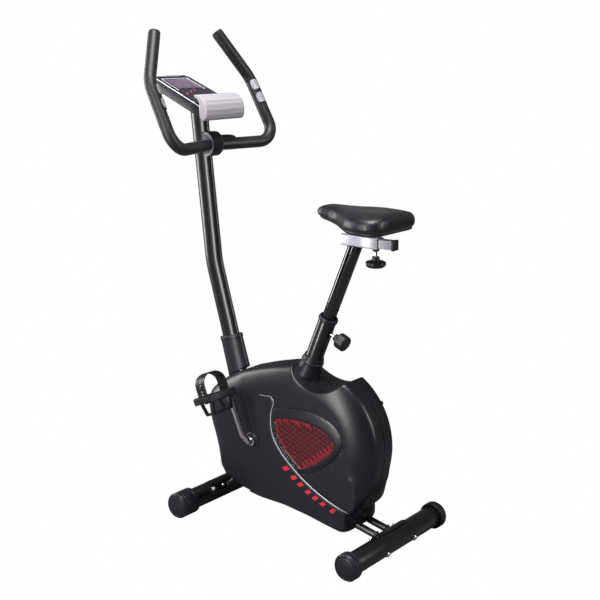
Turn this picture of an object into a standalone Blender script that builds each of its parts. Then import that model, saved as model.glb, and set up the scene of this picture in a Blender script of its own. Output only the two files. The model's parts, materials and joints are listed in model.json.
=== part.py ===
"""Upright magnetic exercise bike, as an assembly of separate solids.

Metres, +Z up. The bike faces -X, the rider's left side is -Y. The origin is on the floor,
under the middle of the bike's box. place() takes x from the point midway between the two
stabiliser tubes, which is where the frame's own dimensions are taken from.
"""
import bmesh
import bpy
from math import atan2, cos, pi, radians, sin, sqrt, tan
from mathutils import Matrix, Vector

# ---- Driving dimensions -------------------------------------------------------------------
MID_X = 0.085                # midway between the stabilisers, seen from the origin
WHEELBASE = 0.612
STANCE = 0.444               # end face to end face of a stabiliser
STABILISER_R = 0.030
CAP_R = 0.038
REAR_AXIS_Z = 0.0365         # lower than CAP_R, so the rear caps stand on a flat
RAIL_R = 0.010
RAIL_Y = 0.026
CRANK_X, CRANK_Z = -0.135, 0.240
CRANK_LENGTH = 0.155
CRANK_LEAN = radians(19.8)   # left arm, forward of straight up
PEDAL_PITCH = radians(23)    # front edge down
FLYWHEEL_X, FLYWHEEL_Z = 0.085, 0.265
FLYWHEEL_R = 0.110
PULLEY_R = 0.105
SMALL_PULLEY_R = 0.015       # one seventh of the drive pulley
SEAT_LEAN = radians(22.6)    # seat tube, rearward
SEAT_TUBE_R = 0.025
SEAT_POST_R = 0.019
POST_RISE = 0.2218           # seat post above its tube, at rest
BOOT_R = 0.042               # foot of the seat tube's boot
POST_LEAN = radians(16.5)    # lower handlebar post, forward
HOUSING_HALF = 0.075
HOUSING_WALL = 0.0025
BAR_R = 0.0135
GRIP_R = 0.0172
CONSOLE_TILT = radians(22)
GAP = 0.0003                 # clearance between touching pieces
WALL = 0.002                 # tube wall
SIDES = 20                   # facets round a large tube
FINE = 12                    # facets round a small one


def place(x, y, z):
    return Vector((x + MID_X, y, z))


REAR_AXLE = place(WHEELBASE / 2, 0, REAR_AXIS_Z)
FRONT_AXLE = place(-WHEELBASE / 2, 0, CAP_R)
CRANK = place(CRANK_X, 0, CRANK_Z)
FLYWHEEL = place(FLYWHEEL_X, 0, FLYWHEEL_Z)
SEAT_AXIS = Vector((sin(SEAT_LEAN), 0, cos(SEAT_LEAN)))
SEAT_TUBE_TOP = place(0.078, 0, 0.616)
POST_AXIS = Vector((-sin(POST_LEAN), 0, cos(POST_LEAN)))
POST_FOOT = place(-0.283, 0, 0.527) - POST_AXIS * 0.430
BAR_AXIS = place(-0.3365, 0, 1.067)
CONSOLE_MID = place(-0.4135, 0, 1.2188)
X, Y, Z = Vector((1, 0, 0)), Vector((0, 1, 0)), Vector((0, 0, 1))
UP_ARM = Vector((-sin(CRANK_LEAN), 0, cos(CRANK_LEAN)))


# ---- Helpers ------------------------------------------------------------------------------
def paint(name, color, roughness, metallic=0.0):
    material = bpy.data.materials.new(name)
    material.use_nodes = True
    shader = material.node_tree.nodes["Principled BSDF"]
    shader.inputs["Base Color"].default_value = (*color, 1)
    shader.inputs["Roughness"].default_value = roughness
    shader.inputs["Metallic"].default_value = metallic
    return material


FINISH = {
    "black_steel": ((0.012, 0.011, 0.013), 0.28, 0.0),
    "black_plastic": ((0.016, 0.015, 0.018), 0.45, 0.0),
    "grey_plastic": ((0.62, 0.60, 0.66), 0.42, 0.0),
    "silver_paint": ((0.55, 0.53, 0.58), 0.35, 0.6),
    "chrome": ((0.75, 0.74, 0.78), 0.12, 1.0),
    "zinc": ((0.60, 0.60, 0.62), 0.35, 1.0),
    "cast_iron": ((0.20, 0.20, 0.21), 0.55, 1.0),
    "foam": ((0.018, 0.017, 0.019), 0.85, 0.0),
    "vinyl": ((0.020, 0.018, 0.024), 0.50, 0.0),
    "rubber": ((0.02, 0.02, 0.02), 0.75, 0.0),
    "glass": ((0.10, 0.10, 0.13), 0.10, 0.0),
    "red_plastic": ((0.45, 0.02, 0.03), 0.40, 0.0),
}


def add(name, mesh_data, finish):
    """Turn a bmesh into a named object with its own material."""
    bmesh.ops.recalc_face_normals(mesh_data, faces=mesh_data.faces)
    mesh = bpy.data.meshes.new(name)
    mesh_data.to_mesh(mesh)
    mesh_data.free()
    mesh.shade_smooth()
    mesh.set_sharp_from_angle(angle=radians(35))
    mesh.materials.append(paint(name, *FINISH[finish]))
    thing = bpy.data.objects.new(name, mesh)
    bpy.context.scene.collection.objects.link(thing)
    return thing


def frame_on(axis):
    """Two unit vectors square to axis, and to each other; the first lies along Y if it can."""
    axis = axis.normalized()
    side = Y - axis * axis.dot(Y)
    if side.length < 1e-4:
        side = Z.copy()
    side.normalize()
    return side, axis.cross(side)


def ring(centre, side, up, half_side, half_up, count):
    turn = 2 * pi / count
    return [centre + side * half_side * cos(turn * (k + 0.5)) + up * half_up * sin(turn * (k + 0.5))
            for k in range(count)]


def skin(shape, rings, closed=False):
    """Join rings of points with quads. A one-point ring is a tip, and open ends are capped."""
    verts = [[shape.verts.new(p) for p in points] for points in rings]
    pairs = list(zip(verts, verts[1:] + verts[:1])) if closed else list(zip(verts, verts[1:]))
    for one, two in pairs:
        count = max(len(one), len(two))
        for k in range(count):
            after = (k + 1) % count
            corners = [one[k % len(one)], one[after % len(one)], two[after % len(two)], two[k % len(two)]]
            distinct = [v for n, v in enumerate(corners) if v not in corners[:n]]
            shape.faces.new(distinct)
    if not closed:
        for end in (verts[0], verts[-1]):
            if len(end) > 2:
                shape.faces.new(end)


def turned(name, profile, start, axis, finish, count=SIDES, hollow=False):
    """Revolve (along, radius) pairs about axis. A hollow profile is a closed loop off the axis."""
    shape = bmesh.new()
    side, up = frame_on(axis)
    axis = axis.normalized()
    rings = []
    for along, radius in profile:
        centre = start + axis * along
        rings.append(ring(centre, side, up, radius, radius, count) if radius else [centre])
    skin(shape, rings, closed=hollow)
    return add(name, shape, finish)


def rod(name, start, end, radius, finish, count=FINE):
    length = (end - start).length
    profile = [(0, radius), (length, radius)]
    return turned(name, profile, start, end - start, finish, count)


def pipe(name, start, end, radius, bore, finish, count=SIDES):
    length = (end - start).length
    profile = [(0, bore), (0, radius), (length, radius), (length, bore)]
    return turned(name, profile, start, end - start, finish, count, hollow=True)


def swept(name, points, half_side, half_up, finish, count=FINE, wall=0.0):
    """Sweep an oval along a path of points; a wall makes it an open tube."""
    shape = bmesh.new()
    outer, inner = [], []
    side = None
    for k, point in enumerate(points):
        before = points[max(k - 1, 0)]
        after = points[min(k + 1, len(points) - 1)]
        along = (after - before).normalized()
        if side is None:
            side, up = frame_on(along)
        side = (side - along * along.dot(side)).normalized()
        up = along.cross(side)
        outer.append(ring(point, side, up, half_side, half_up, count))
        inner.append(ring(point, side, up, half_side - wall, half_up - wall, count))
    if wall:
        skin(shape, outer + inner[::-1], closed=True)
    else:
        skin(shape, outer)
    return add(name, shape, finish)


def prism(name, outline, low_y, high_y, finish):
    """Extrude an outline of (x, z) points, given from the origin, between two heights in y."""
    shape = bmesh.new()
    skin(shape, [[Vector((x, y, z)) for x, z in outline] for y in (low_y, high_y)])
    return add(name, shape, finish)


def block(name, centre, size, finish, bevel=0.0, turn=0.0):
    """A box turned about Y, with its edges rounded by bevel."""
    shape = bmesh.new()
    bmesh.ops.create_cube(shape, size=1)
    bmesh.ops.scale(shape, vec=size, verts=shape.verts)
    if bevel:
        bmesh.ops.bevel(shape, geom=shape.edges, offset=bevel, segments=2, affect="EDGES", profile=0.5)
    bmesh.ops.rotate(shape, matrix=Matrix.Rotation(turn, 3, "Y"), verts=shape.verts)
    bmesh.ops.translate(shape, vec=centre, verts=shape.verts)
    return add(name, shape, finish)


def combine(target, operation, *tools):
    """Boolean the tools with the target, and hide them as guides."""
    for tool in tools:
        step = target.modifiers.new(operation.lower(), "BOOLEAN")
        step.operation = operation
        step.solver = "EXACT"
        step.object = tool
        tool.hide_render = True
        tool.display_type = "WIRE"
    return target


def cut(target, *tools):
    return combine(target, "DIFFERENCE", *tools)


def weld(target, *tools):
    return combine(target, "UNION", *tools)


def carried(name, pivot, *things):
    """Hang the pieces of a moving body on an empty that stands on the joint's axis."""
    empty = bpy.data.objects.new(name, None)
    empty.location = pivot
    bpy.context.scene.collection.objects.link(empty)
    for thing in things:
        thing.parent = empty
        thing.matrix_parent_inverse = Matrix.Translation(-pivot)
    return empty


def arc(centre_x, centre_z, radius, first, last, steps):
    """Points on a circle in the XZ plane, from one angle to another, in degrees."""
    turns = [radians(first + (last - first) * k / steps) for k in range(steps + 1)]
    return [(centre_x + radius * cos(t), centre_z + radius * sin(t)) for t in turns]


def rounded(corners, steps=5):
    """A path through corner points given with a fillet radius each."""
    path = [corners[0][0]]
    for k in range(1, len(corners) - 1):
        corner, radius = corners[k]
        back = (corners[k - 1][0] - corner).normalized()
        ahead = (corners[k + 1][0] - corner).normalized()
        half = back.angle(ahead) / 2
        reach = radius / tan(half)
        middle = corner + (back + ahead).normalized() * radius / sin(half)
        first = (corner + back * reach - middle).normalized()
        last = (corner + ahead * reach - middle).normalized()
        for n in range(steps + 1):
            path.append(middle + first.slerp(last, n / steps) * radius)
    path.append(corners[-1][0])
    return path


# ---- Base and frame -----------------------------------------------------------------------
def stabiliser(end, axle):
    half = STANCE / 2 - 0.0085
    pipe(f"{end}_stabiliser_tube", axle - Y * half, axle + Y * half, STABILISER_R,
         STABILISER_R - WALL, "black_steel")


def end_cap(name, axle, side, depth, clearance):
    """A cup that closes one end of a stabiliser tube; side is -1 for left."""
    face = axle + Y * side * STANCE / 2
    bore = STABILISER_R + clearance
    profile = [(0, 0), (0, CAP_R - 0.006), (0.006, CAP_R), (depth, CAP_R), (depth, bore),
               (0.008, bore), (0.008, 0)]
    return turned(name, profile, face, Y * -side, "black_plastic")


def stand_flat(thing):
    """Flatten what would reach below the floor, so the cap stands on a flat."""
    for vert in thing.data.vertices:
        vert.co.z = max(vert.co.z, 0)


def stabilisers():
    stabiliser("front", FRONT_AXLE)
    stabiliser("rear", REAR_AXLE)
    for side, hand in ((-1, "left"), (1, "right")):
        roller = end_cap(f"front_{hand}_roller", FRONT_AXLE, side, 0.065, 0.0006)
        carried(f"{hand}_roller_axis", FRONT_AXLE, roller)
        stand_flat(end_cap(f"rear_{hand}_end_cap", REAR_AXLE, side, 0.030, GAP))


def saddle(name, axle, first, last, half_width):
    """A curved plate that hugs a stabiliser tube."""
    inner = STABILISER_R + GAP
    outline = arc(axle.x, axle.z, inner, first, last, 8)
    outline += arc(axle.x, axle.z, inner + 0.004, last, first, 8)
    return prism(name, outline, -half_width, half_width, "black_steel")


def base_frame():
    rear = saddle("base_frame", REAR_AXLE, 85, 190, 0.065)
    front = saddle("front_saddle_guide", FRONT_AXLE, -10, 95, 0.100)
    rails = []
    for side in (-1, 1):
        y = side * RAIL_Y
        corners = [(place(-0.2760, y, 0.0505), 0), (place(-0.235, y, 0.088), 0.02),
                   (place(0.100, y, 0.088), 0.05), (place(0.190, y, 0.0625), 0.05),
                   (place(0.2735, y, 0.046), 0)]
        rails.append(swept(f"rail_guide{side}", rounded(corners, 2), RAIL_R, RAIL_R, "black_steel", 12))
    plate = block("plate_guide", place(-0.150, 0, 0.0915), (0.110, 0.070, 0.012), "black_steel")
    weld(rear, *rails, front, plate)


def fasteners():
    """Carriage bolts that hold the stabiliser tubes to the saddles."""
    heads = (("front", FRONT_AXLE, 0.091, 35, 0.0046), ("rear", REAR_AXLE, 0.065, -20, 0.0004))
    for end, axle, y, angle, stand_off in heads:
        out = Vector((cos(radians(angle)), 0, sin(radians(angle))))
        for side, hand in ((-1, "left"), (1, "right")):
            start = axle + Y * side * y + out * (STABILISER_R + stand_off)
            dome = [(0, 0), (0, 0.009), (0.0015, 0.009), (0.0015, 0.0065), (0.006, 0.0060),
                    (0.0095, 0.0035), (0.0105, 0)]
            turned(f"{end}_{hand}_bolt", dome, start, out, "zinc", 12)


def seat_tube():
    foot = SEAT_TUBE_TOP - SEAT_AXIS * 0.445
    tube = rod("seat_tube", foot, SEAT_TUBE_TOP, SEAT_TUBE_R, "black_steel", SIDES)
    shell = rod("shell_guide", CRANK - Y * 0.034, CRANK + Y * 0.034, 0.028, "black_steel", SIDES)
    bore = rod("bore_guide", SEAT_TUBE_TOP - SEAT_AXIS * 0.350, SEAT_TUBE_TOP + SEAT_AXIS * 0.01,
               SEAT_TUBE_R - 0.0025, "black_steel", SIDES)
    axle_bore = rod("axle_bore_guide", CRANK - Y * 0.04, CRANK + Y * 0.04, 0.0175, "black_steel")
    pin_hole = rod("pin_hole_guide", pin_centre(), pin_centre() + pin_axis() * 0.05, 0.0065,
                   "black_steel")
    reach = 0.016
    rear = Vector((cos(POST_LEAN), 0, sin(POST_LEAN)))
    beside = POST_FOOT + POST_AXIS * 0.135 + rear * (0.027 + GAP + reach / 2)
    gusset = block("gusset_guide", beside, (reach, 0.024, 0.044), "black_steel", 0, -POST_LEAN)
    weld(tube, shell, gusset)
    cut(tube, bore, axle_bore, pin_hole)


def post_stub():
    swept("post_stub", [POST_FOOT, POST_FOOT + POST_AXIS * 0.44], 0.013, 0.027, "black_steel",
          SIDES, WALL)


def flywheel_brackets():
    """Plates that stand on the rails and carry the flywheel's axle."""
    rail_top = 0.088 + RAIL_R + GAP
    for hand, inner in (("left", -0.0225), ("right", 0.0555)):
        outer = inner + (-0.004 if hand == "left" else 0.004)
        low, high = sorted((inner, outer))
        top = arc(FLYWHEEL.x, FLYWHEEL.z, 0.020, 0, 180, 6)
        outline = [(FLYWHEEL.x + 0.035, rail_top), *top, (FLYWHEEL.x - 0.035, rail_top)]
        plate = prism(f"flywheel_bracket_{hand}", outline, low, high, "black_steel")
        if hand == "right":
            centre = Vector((FLYWHEEL.x, 0.0375, rail_top + 0.002))
            foot = block("foot_guide", centre, (0.070, 0.042, 0.004), "black_steel")
            weld(plate, foot, *idler_stud())


# ---- Drive --------------------------------------------------------------------------------
def crank():
    eye = CRANK + UP_ARM * (CRANK_LENGTH + 0.010)
    tail = CRANK - UP_ARM * (CRANK_LENGTH + 0.010)
    corners = [(eye - Y * 0.116, 0), (CRANK + UP_ARM * 0.024 - Y * 0.106, 0.03),
               (CRANK - Y * 0.092, 0.006), (CRANK + Y * 0.092, 0.006),
               (CRANK - UP_ARM * 0.024 + Y * 0.106, 0.03), (tail + Y * 0.116, 0)]
    arms = swept("crank", rounded(corners, 3), 0.009, 0.009, "chrome", 12)
    wheel = drive_pulley()
    spindles = []
    for side, hand in ((-1, "left"), (1, "right")):
        start = pedal_centre(side) - Y * side * 0.0452
        end = pedal_centre(side) + Y * side * 0.044
        profile = [(0, 0.0085), (0.0042, 0.0085), (0.0042, 0.0062)]
        profile += [((end - start).length, 0.0062)]
        spindles.append(turned(f"{hand}_pedal_spindle", profile, start, end - start, "chrome", 12))
    carried("crank_axis", CRANK, arms, wheel, *spindles)


def drive_pulley():
    hub, web, rim = 0.010, 0.002, 0.0055
    bore = 0.0095
    middle = CRANK + Y * 0.0460
    profile = [(-hub, bore), (-hub, 0.022), (-web, 0.022), (-web, PULLEY_R - 0.012),
               (-rim, PULLEY_R - 0.012), (-rim, PULLEY_R), (rim, PULLEY_R),
               (rim, PULLEY_R - 0.012), (web, PULLEY_R - 0.012), (web, 0.022), (hub, 0.022),
               (hub, bore)]
    return turned("drive_pulley", profile, middle, Y, "black_plastic", 28, hollow=True)


def bearings():
    """Cups that carry the crank in the frame's shell."""
    for side, hand in ((-1, "left"), (1, "right")):
        start = CRANK + Y * side * 0.024
        pipe(f"{hand}_crank_bearing", start, start + Y * side * 0.0095, 0.0172, 0.0095, "zinc", FINE)


def belt_loop(offset):
    """Outline of the loop round both pulleys, at an offset from their rims."""
    big, small = PULLEY_R + offset, SMALL_PULLEY_R + offset
    span = FLYWHEEL - CRANK
    lean = atan2(span.z, span.x) * 180 / pi
    spread = 90 + atan2(big - small, sqrt(span.length ** 2 - (big - small) ** 2)) * 180 / pi
    wide = arc(CRANK.x, CRANK.z, big, lean + 180 - spread, lean + 180 + spread, 26)
    narrow = arc(FLYWHEEL.x, FLYWHEEL.z, small, lean - 180 + spread, lean + 180 - spread, 8)
    return wide + narrow


def belt():
    outer = belt_loop(0.0036)
    inner = belt_loop(0.0010)
    shape = bmesh.new()
    loops = []
    for outline, y in ((outer, 0.0415), (outer, 0.0505), (inner, 0.0505), (inner, 0.0415)):
        loops.append([Vector((x, y, z)) for x, z in outline])
    skin(shape, loops, closed=True)
    add("drive_belt", shape, "rubber")


def flywheel():
    rim, web = 0.012, 0.004
    profile = [(-rim, FLYWHEEL_R), (rim, FLYWHEEL_R), (rim, FLYWHEEL_R - 0.022),
               (web, FLYWHEEL_R - 0.026), (web, 0.024), (0.014, 0.024), (0.014, 0.011),
               (0.0400, 0.011), (0.0400, SMALL_PULLEY_R), (0.0520, SMALL_PULLEY_R),
               (0.0520, 0.0068), (-0.0200, 0.0068), (-0.0200, 0.024), (-web, 0.024),
               (-web, FLYWHEEL_R - 0.026), (-rim, FLYWHEEL_R - 0.022)]
    wheel = turned("flywheel", profile, FLYWHEEL, Y, "cast_iron", 24, hollow=True)
    carried("flywheel_axis", FLYWHEEL, wheel)
    rod("flywheel_axle", FLYWHEEL - Y * 0.0222, FLYWHEEL + Y * 0.0552, 0.006, "zinc", 12)


def idler_centre():
    """Below the belt's lower run, just touching its back."""
    span = (FLYWHEEL - CRANK).normalized()
    lean = atan2(PULLEY_R - SMALL_PULLEY_R, (FLYWHEEL - CRANK).length)
    down = Matrix.Rotation(-lean, 3, "Y") @ Vector((span.z, 0, -span.x))
    foot = CRANK + down * PULLEY_R
    run = FLYWHEEL + down * SMALL_PULLEY_R - foot
    return foot + run * 0.62 + down * (0.016 + 0.0040)


def idler():
    centre = idler_centre()
    wheel = pipe("idler_pulley", centre + Y * 0.0410, centre + Y * 0.0510, 0.016, 0.0058, "zinc", FINE)
    carried("idler_axis", centre, wheel)


def idler_stud():
    """The stud that carries the idler, and the arm that ties it to the right bracket."""
    centre = idler_centre()
    stud = rod("idler_stud_guide", centre + Y * 0.0405, centre + Y * 0.0595, 0.0054, "zinc", 12)
    reach = FLYWHEEL + Z * -0.060 - centre
    turn = -atan2(reach.z, reach.x)
    middle = centre + reach / 2 + Y * 0.0575
    size = (reach.length + 0.02, 0.0040, 0.018)
    return stud, block("idler_arm_guide", middle, size, "zinc", 0, turn)


def brake():
    """Curved magnet bracket over the flywheel, hinged at its rear end, and its motor."""
    inner, outer = FLYWHEEL_R + 0.003, FLYWHEEL_R + 0.010
    outline = arc(FLYWHEEL.x, FLYWHEEL.z, inner, 8, 100, 14)
    outline += arc(FLYWHEEL.x, FLYWHEEL.z, outer, 100, 8, 14)
    bracket = prism("magnet_bracket", outline, -0.015, 0.015, "zinc")
    pivot = FLYWHEEL + Vector((cos(radians(12)), 0, sin(radians(12)))) * (FLYWHEEL_R + 0.0065)
    carried("brake_axis", pivot, bracket)
    block("tension_motor", place(-0.010, -0.0445, 0.345), (0.056, 0.030, 0.044), "black_plastic", 0.003)


# ---- Pedals -------------------------------------------------------------------------------
def pedal_centre(side):
    return CRANK - UP_ARM * side * CRANK_LENGTH + Y * side * 0.1705


def tilted(points, centre):
    """Turn local (forward-aft, up) points by the pedal's pitch about its spindle."""
    turn = Matrix.Rotation(-PEDAL_PITCH, 3, "Y")
    moved = [centre + turn @ Vector((x, 0, z)) for x, z in points]
    return [(p.x, p.z) for p in moved]


def pedal(side, hand):
    centre = pedal_centre(side)
    section = [(-0.046, -0.010), (-0.048, 0.008), (-0.040, 0.011), (0.040, 0.011),
               (0.048, 0.008), (0.046, -0.010), (0.022, -0.018), (0.014, -0.046),
               (-0.014, -0.046), (-0.022, -0.018)]
    low, high = sorted((side * 0.130, side * 0.212))
    body = prism(f"{hand}_pedal", tilted(section, centre), low, high, "black_plastic")
    cut(body, rod(f"{hand}_bore_guide", centre - Y * 0.06, centre + Y * 0.06, 0.0072, "chrome", 12))
    strap = pedal_strap(f"{hand}_pedal_strap", centre)
    carried(f"{hand}_pedal_axis", centre, body, strap)


def pedal_strap(name, centre):
    """An arched band over the foot, from one side of the pedal to the other."""
    half, height, thick, width = 0.0445, 0.072, 0.0026, 0.036
    shape = bmesh.new()
    turn = Matrix.Rotation(-PEDAL_PITCH, 3, "Y")
    outer, inner = [], []
    for k in range(13):
        t = pi * k / 12
        y = -cos(t)
        up = 0.034 + (height - 0.034) * sin(t) ** 0.8
        outer.append((y * half, up))
        inner.append((y * (half - thick), up - thick * sin(t)))
    outer = [(-half, 0.009), *outer, (half, 0.009)]
    inner = [(thick - half, 0.009), *inner, (half - thick, 0.009)]
    loops = []
    for line, x in ((outer, -width / 2), (outer, width / 2), (inner, width / 2), (inner, -width / 2)):
        loops.append([centre + turn @ Vector((x, y, z)) for y, z in line])
    verts = [[shape.verts.new(p) for p in loop] for loop in loops]
    for one, two in zip(verts, verts[1:] + verts[:1]):
        for k in range(len(one) - 1):
            shape.faces.new([one[k], one[k + 1], two[k + 1], two[k]])
    for k in (0, -1):
        shape.faces.new([loop[k] for loop in verts])
    return add(name, shape, "rubber")


# ---- Housing ------------------------------------------------------------------------------
def housing_outline():
    """Side view of the clamshell, clockwise from its front lower corner, with inset weights."""
    front = [(-0.173, 0.075), (-0.248, 0.099), (-0.272, 0.132), (-0.300, 0.195), (-0.322, 0.253),
             (-0.334, 0.305), (-0.323, 0.349), (-0.292, 0.378), (-0.254, 0.403), (-0.200, 0.431),
             (-0.131, 0.454), (-0.064, 0.472), (0.000, 0.486)]
    back = arc(0.062, 0.280, 0.212, 90, -12, 12)
    tail = [(0.262, 0.195), (0.248, 0.158), (0.225, 0.111), (0.203, 0.100), (0.203, 0.062),
            (0.196, 0.045), (0.179, 0.040), (0.124, 0.048), (0.067, 0.058), (-0.021, 0.067),
            (-0.111, 0.067)]
    points = [(x, z, 1.0) for x, z in front + back] + [(x, z, 0.25) for x, z in tail]
    return [(x + MID_X, z, weight) for x, z, weight in points]


def housing_solid(name, side, wall, first_y):
    """One half of the domed body as a solid, shrunk by wall on every side."""
    outline = housing_outline()
    count = len(outline)
    rows = ((first_y, 0.0), (0.035, 0.0), (0.056, 0.006), (0.069, 0.017), (0.075, 0.034))
    rings = []
    for y, inset in rows:
        points = []
        for k, (x, z, weight) in enumerate(outline):
            before, after = outline[k - 1], outline[(k + 1) % count]
            along = Vector((after[0] - before[0], 0, after[1] - before[1])).normalized()
            inward = Vector((along.z, 0, -along.x)) * (inset * weight + wall)
            level = y if y == first_y else y - wall
            points.append(Vector((x, side * level, z)) + inward)
        rings.append(points)
    shape = bmesh.new()
    skin(shape, rings)
    return add(name, shape, "black_plastic")


def housing():
    for side, hand in ((-1, "left"), (1, "right")):
        half = housing_solid(f"{hand}_housing", side, 0, 0.0002)
        hollow = housing_solid(f"{hand}_hollow_guide", side, HOUSING_WALL, -0.01)
        scoop_mid = place(0.085, 0, 0.548)
        scoop = rod(f"{hand}_scoop_guide", scoop_mid - Y * 0.2, scoop_mid + Y * 0.2, 0.118,
                    "black_plastic", 48)
        floor = rod(f"{hand}_floor_guide", scoop_mid - Y * 0.2, scoop_mid + Y * 0.2,
                    0.118 + HOUSING_WALL, "black_plastic", 48)
        cut(hollow, floor)
        seat_hole = rod(f"{hand}_seat_hole_guide", SEAT_TUBE_TOP - SEAT_AXIS * 0.24, SEAT_TUBE_TOP,
                        BOOT_R + 0.0005, "black_plastic", SIDES)
        post_line = [POST_FOOT + POST_AXIS * 0.24, POST_FOOT + POST_AXIS * 0.36]
        post_hole = swept(f"{hand}_post_hole_guide", post_line, 0.0155, 0.0295, "black_plastic", SIDES)
        axle_hole = rod(f"{hand}_axle_hole_guide", CRANK, CRANK + Y * side * 0.09, 0.0150,
                        "black_plastic")
        tail_slot = block(f"{hand}_tail_guide", place(0.205, 0, 0.059), (0.06, 0.076, 0.032),
                          "black_plastic")
        nose_slot = block(f"{hand}_nose_guide", place(-0.232, 0, 0.085), (0.144, 0.076, 0.06),
                          "black_plastic")
        cut(half, scoop, hollow, seat_hole, post_hole, axle_hole, tail_slot, nose_slot)
        start = CRANK + Y * side * (HOUSING_HALF + GAP)
        ring_profile = [(0, 0.0150), (0, 0.0240), (0.003, 0.0240), (0.0045, 0.021), (0.0045, 0.0150)]
        turned(f"{hand}_crank_cover", ring_profile, start, Y * side, "black_plastic", SIDES, hollow=True)


def seat_tube_boot():
    base = SEAT_TUBE_TOP - SEAT_AXIS * 0.192
    bore = SEAT_TUBE_R + GAP
    profile = [(0, bore), (0, BOOT_R), (0.062, 0.0300), (0.072, 0.0290), (0.075, 0.0280), (0.075, bore)]
    turned("seat_tube_boot", profile, base, SEAT_AXIS, "black_plastic", SIDES, hollow=True)


def post_boot():
    """Oval sleeve on the housing's shoulder, its base cut along the slope it stands on."""
    slope = 0.60
    bottom, top = POST_FOOT + POST_AXIS * 0.300, POST_FOOT + POST_AXIS * 0.418
    shape = bmesh.new()
    side, up = frame_on(POST_AXIS)
    rings = []
    shoulder = place(-0.254, 0, 0.4055)
    for half_side, half_up in ((0.023, 0.042), (0.0163, 0.0313)):
        pair = [ring(centre, side, up, half_side, half_up, SIDES) for centre in (bottom, top)]
        for k, point in enumerate(pair[0]):
            height = shoulder.z + slope * (point.x - shoulder.x) - point.z
            pair[0][k] = point + POST_AXIS * height / (POST_AXIS.z - slope * POST_AXIS.x)
        rings.append(pair)
    skin(shape, rings[0] + rings[1][::-1], closed=True)
    add("post_boot", shape, "black_plastic")


# ---- Seat ---------------------------------------------------------------------------------
def pin_axis():
    return Vector((cos(SEAT_LEAN), 0, -sin(SEAT_LEAN)))


def pin_centre():
    return SEAT_TUBE_TOP - SEAT_AXIS * 0.030


def seat_post():
    top = SEAT_TUBE_TOP + SEAT_AXIS * POST_RISE
    post = pipe("seat_post", SEAT_TUBE_TOP - SEAT_AXIS * 0.190, top + SEAT_AXIS * 0.04, SEAT_POST_R,
                SEAT_POST_R - WALL, "black_steel")
    mitre = block("mitre_guide", top + Z * (SLEEVE_BOTTOM - GAP - top.z + 0.03), (0.12, 0.06, 0.06),
                  "black_steel")
    cut(post, mitre)
    bore = SEAT_POST_R + GAP
    collar = [(0, bore), (-0.060, bore), (-0.060, 0.0223), (0.0003, 0.0223), (0.0003, 0.0275),
              (0.012, 0.0265), (0.012, bore)]
    bushing = turned("seat_tube_bushing", collar, SEAT_TUBE_TOP, SEAT_AXIS, "black_plastic",
                     SIDES, hollow=True)
    slot = rod("bushing_hole_guide", pin_centre(), pin_centre() + pin_axis() * 0.05, 0.0068, "zinc")
    cut(bushing, slot)
    channel = seat_channel()
    carried("seat_height_axis", top, post, channel)


def pop_pin():
    start = pin_centre() + pin_axis() * (SEAT_POST_R + GAP + 0.0002)
    profile = [(0, 0), (0, 0.0048), (0.020, 0.0048), (0.020, 0.0100), (0.032, 0.0100), (0.032, 0.0205),
               (0.036, 0.0225), (0.058, 0.0225), (0.063, 0.0195), (0.063, 0)]
    knob = turned("pop_pin_knob", profile, start, pin_axis(), "black_plastic", 20)
    carried("pop_pin_axis", start, knob)


SLIDER_Z = 0.849
SLEEVE_SIZE = (0.118, 0.029, 0.031)
SLEEVE_X = 0.189
SLEEVE_BOTTOM = SLIDER_Z - SLEEVE_SIZE[2] / 2
KNOB_X, KNOB_TOP = 0.234, 0.8172


def square_tube(name, centre, size, wall, finish):
    """A rectangular tube along X, open at both ends."""
    shape = bmesh.new()
    loops = []
    for inset, end in ((0, -1), (0, 1), (wall, 1), (wall, -1)):
        half_y, half_z = size[1] / 2 - inset, size[2] / 2 - inset
        corners = ((-half_y, -half_z), (half_y, -half_z), (half_y, half_z), (-half_y, half_z))
        loops.append([centre + Vector((end * size[0] / 2, y, z)) for y, z in corners])
    skin(shape, loops, closed=True)
    return add(name, shape, finish)


def seat_channel():
    """The square sleeve on top of the seat post."""
    channel = square_tube("seat_channel", place(SLEEVE_X, 0, SLIDER_Z), SLEEVE_SIZE, 0.003,
                          "silver_paint")
    lift = SLIDER_Z + SLEEVE_SIZE[2] / 2
    slot = block("slot_guide", place(SLEEVE_X, 0, lift), (0.2, 0.016, 0.008), "silver_paint")
    screw = rod("screw_hole_guide", place(KNOB_X, 0, 0.80), place(KNOB_X, 0, 0.845), 0.0045, "zinc", 12)
    boss = rod("boss_guide", place(KNOB_X, 0, SLEEVE_BOTTOM - 0.006), place(KNOB_X, 0, SLEEVE_BOTTOM + 0.001),
               0.009, "silver_paint", 12)
    return cut(weld(channel, boss), slot, screw)


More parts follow.
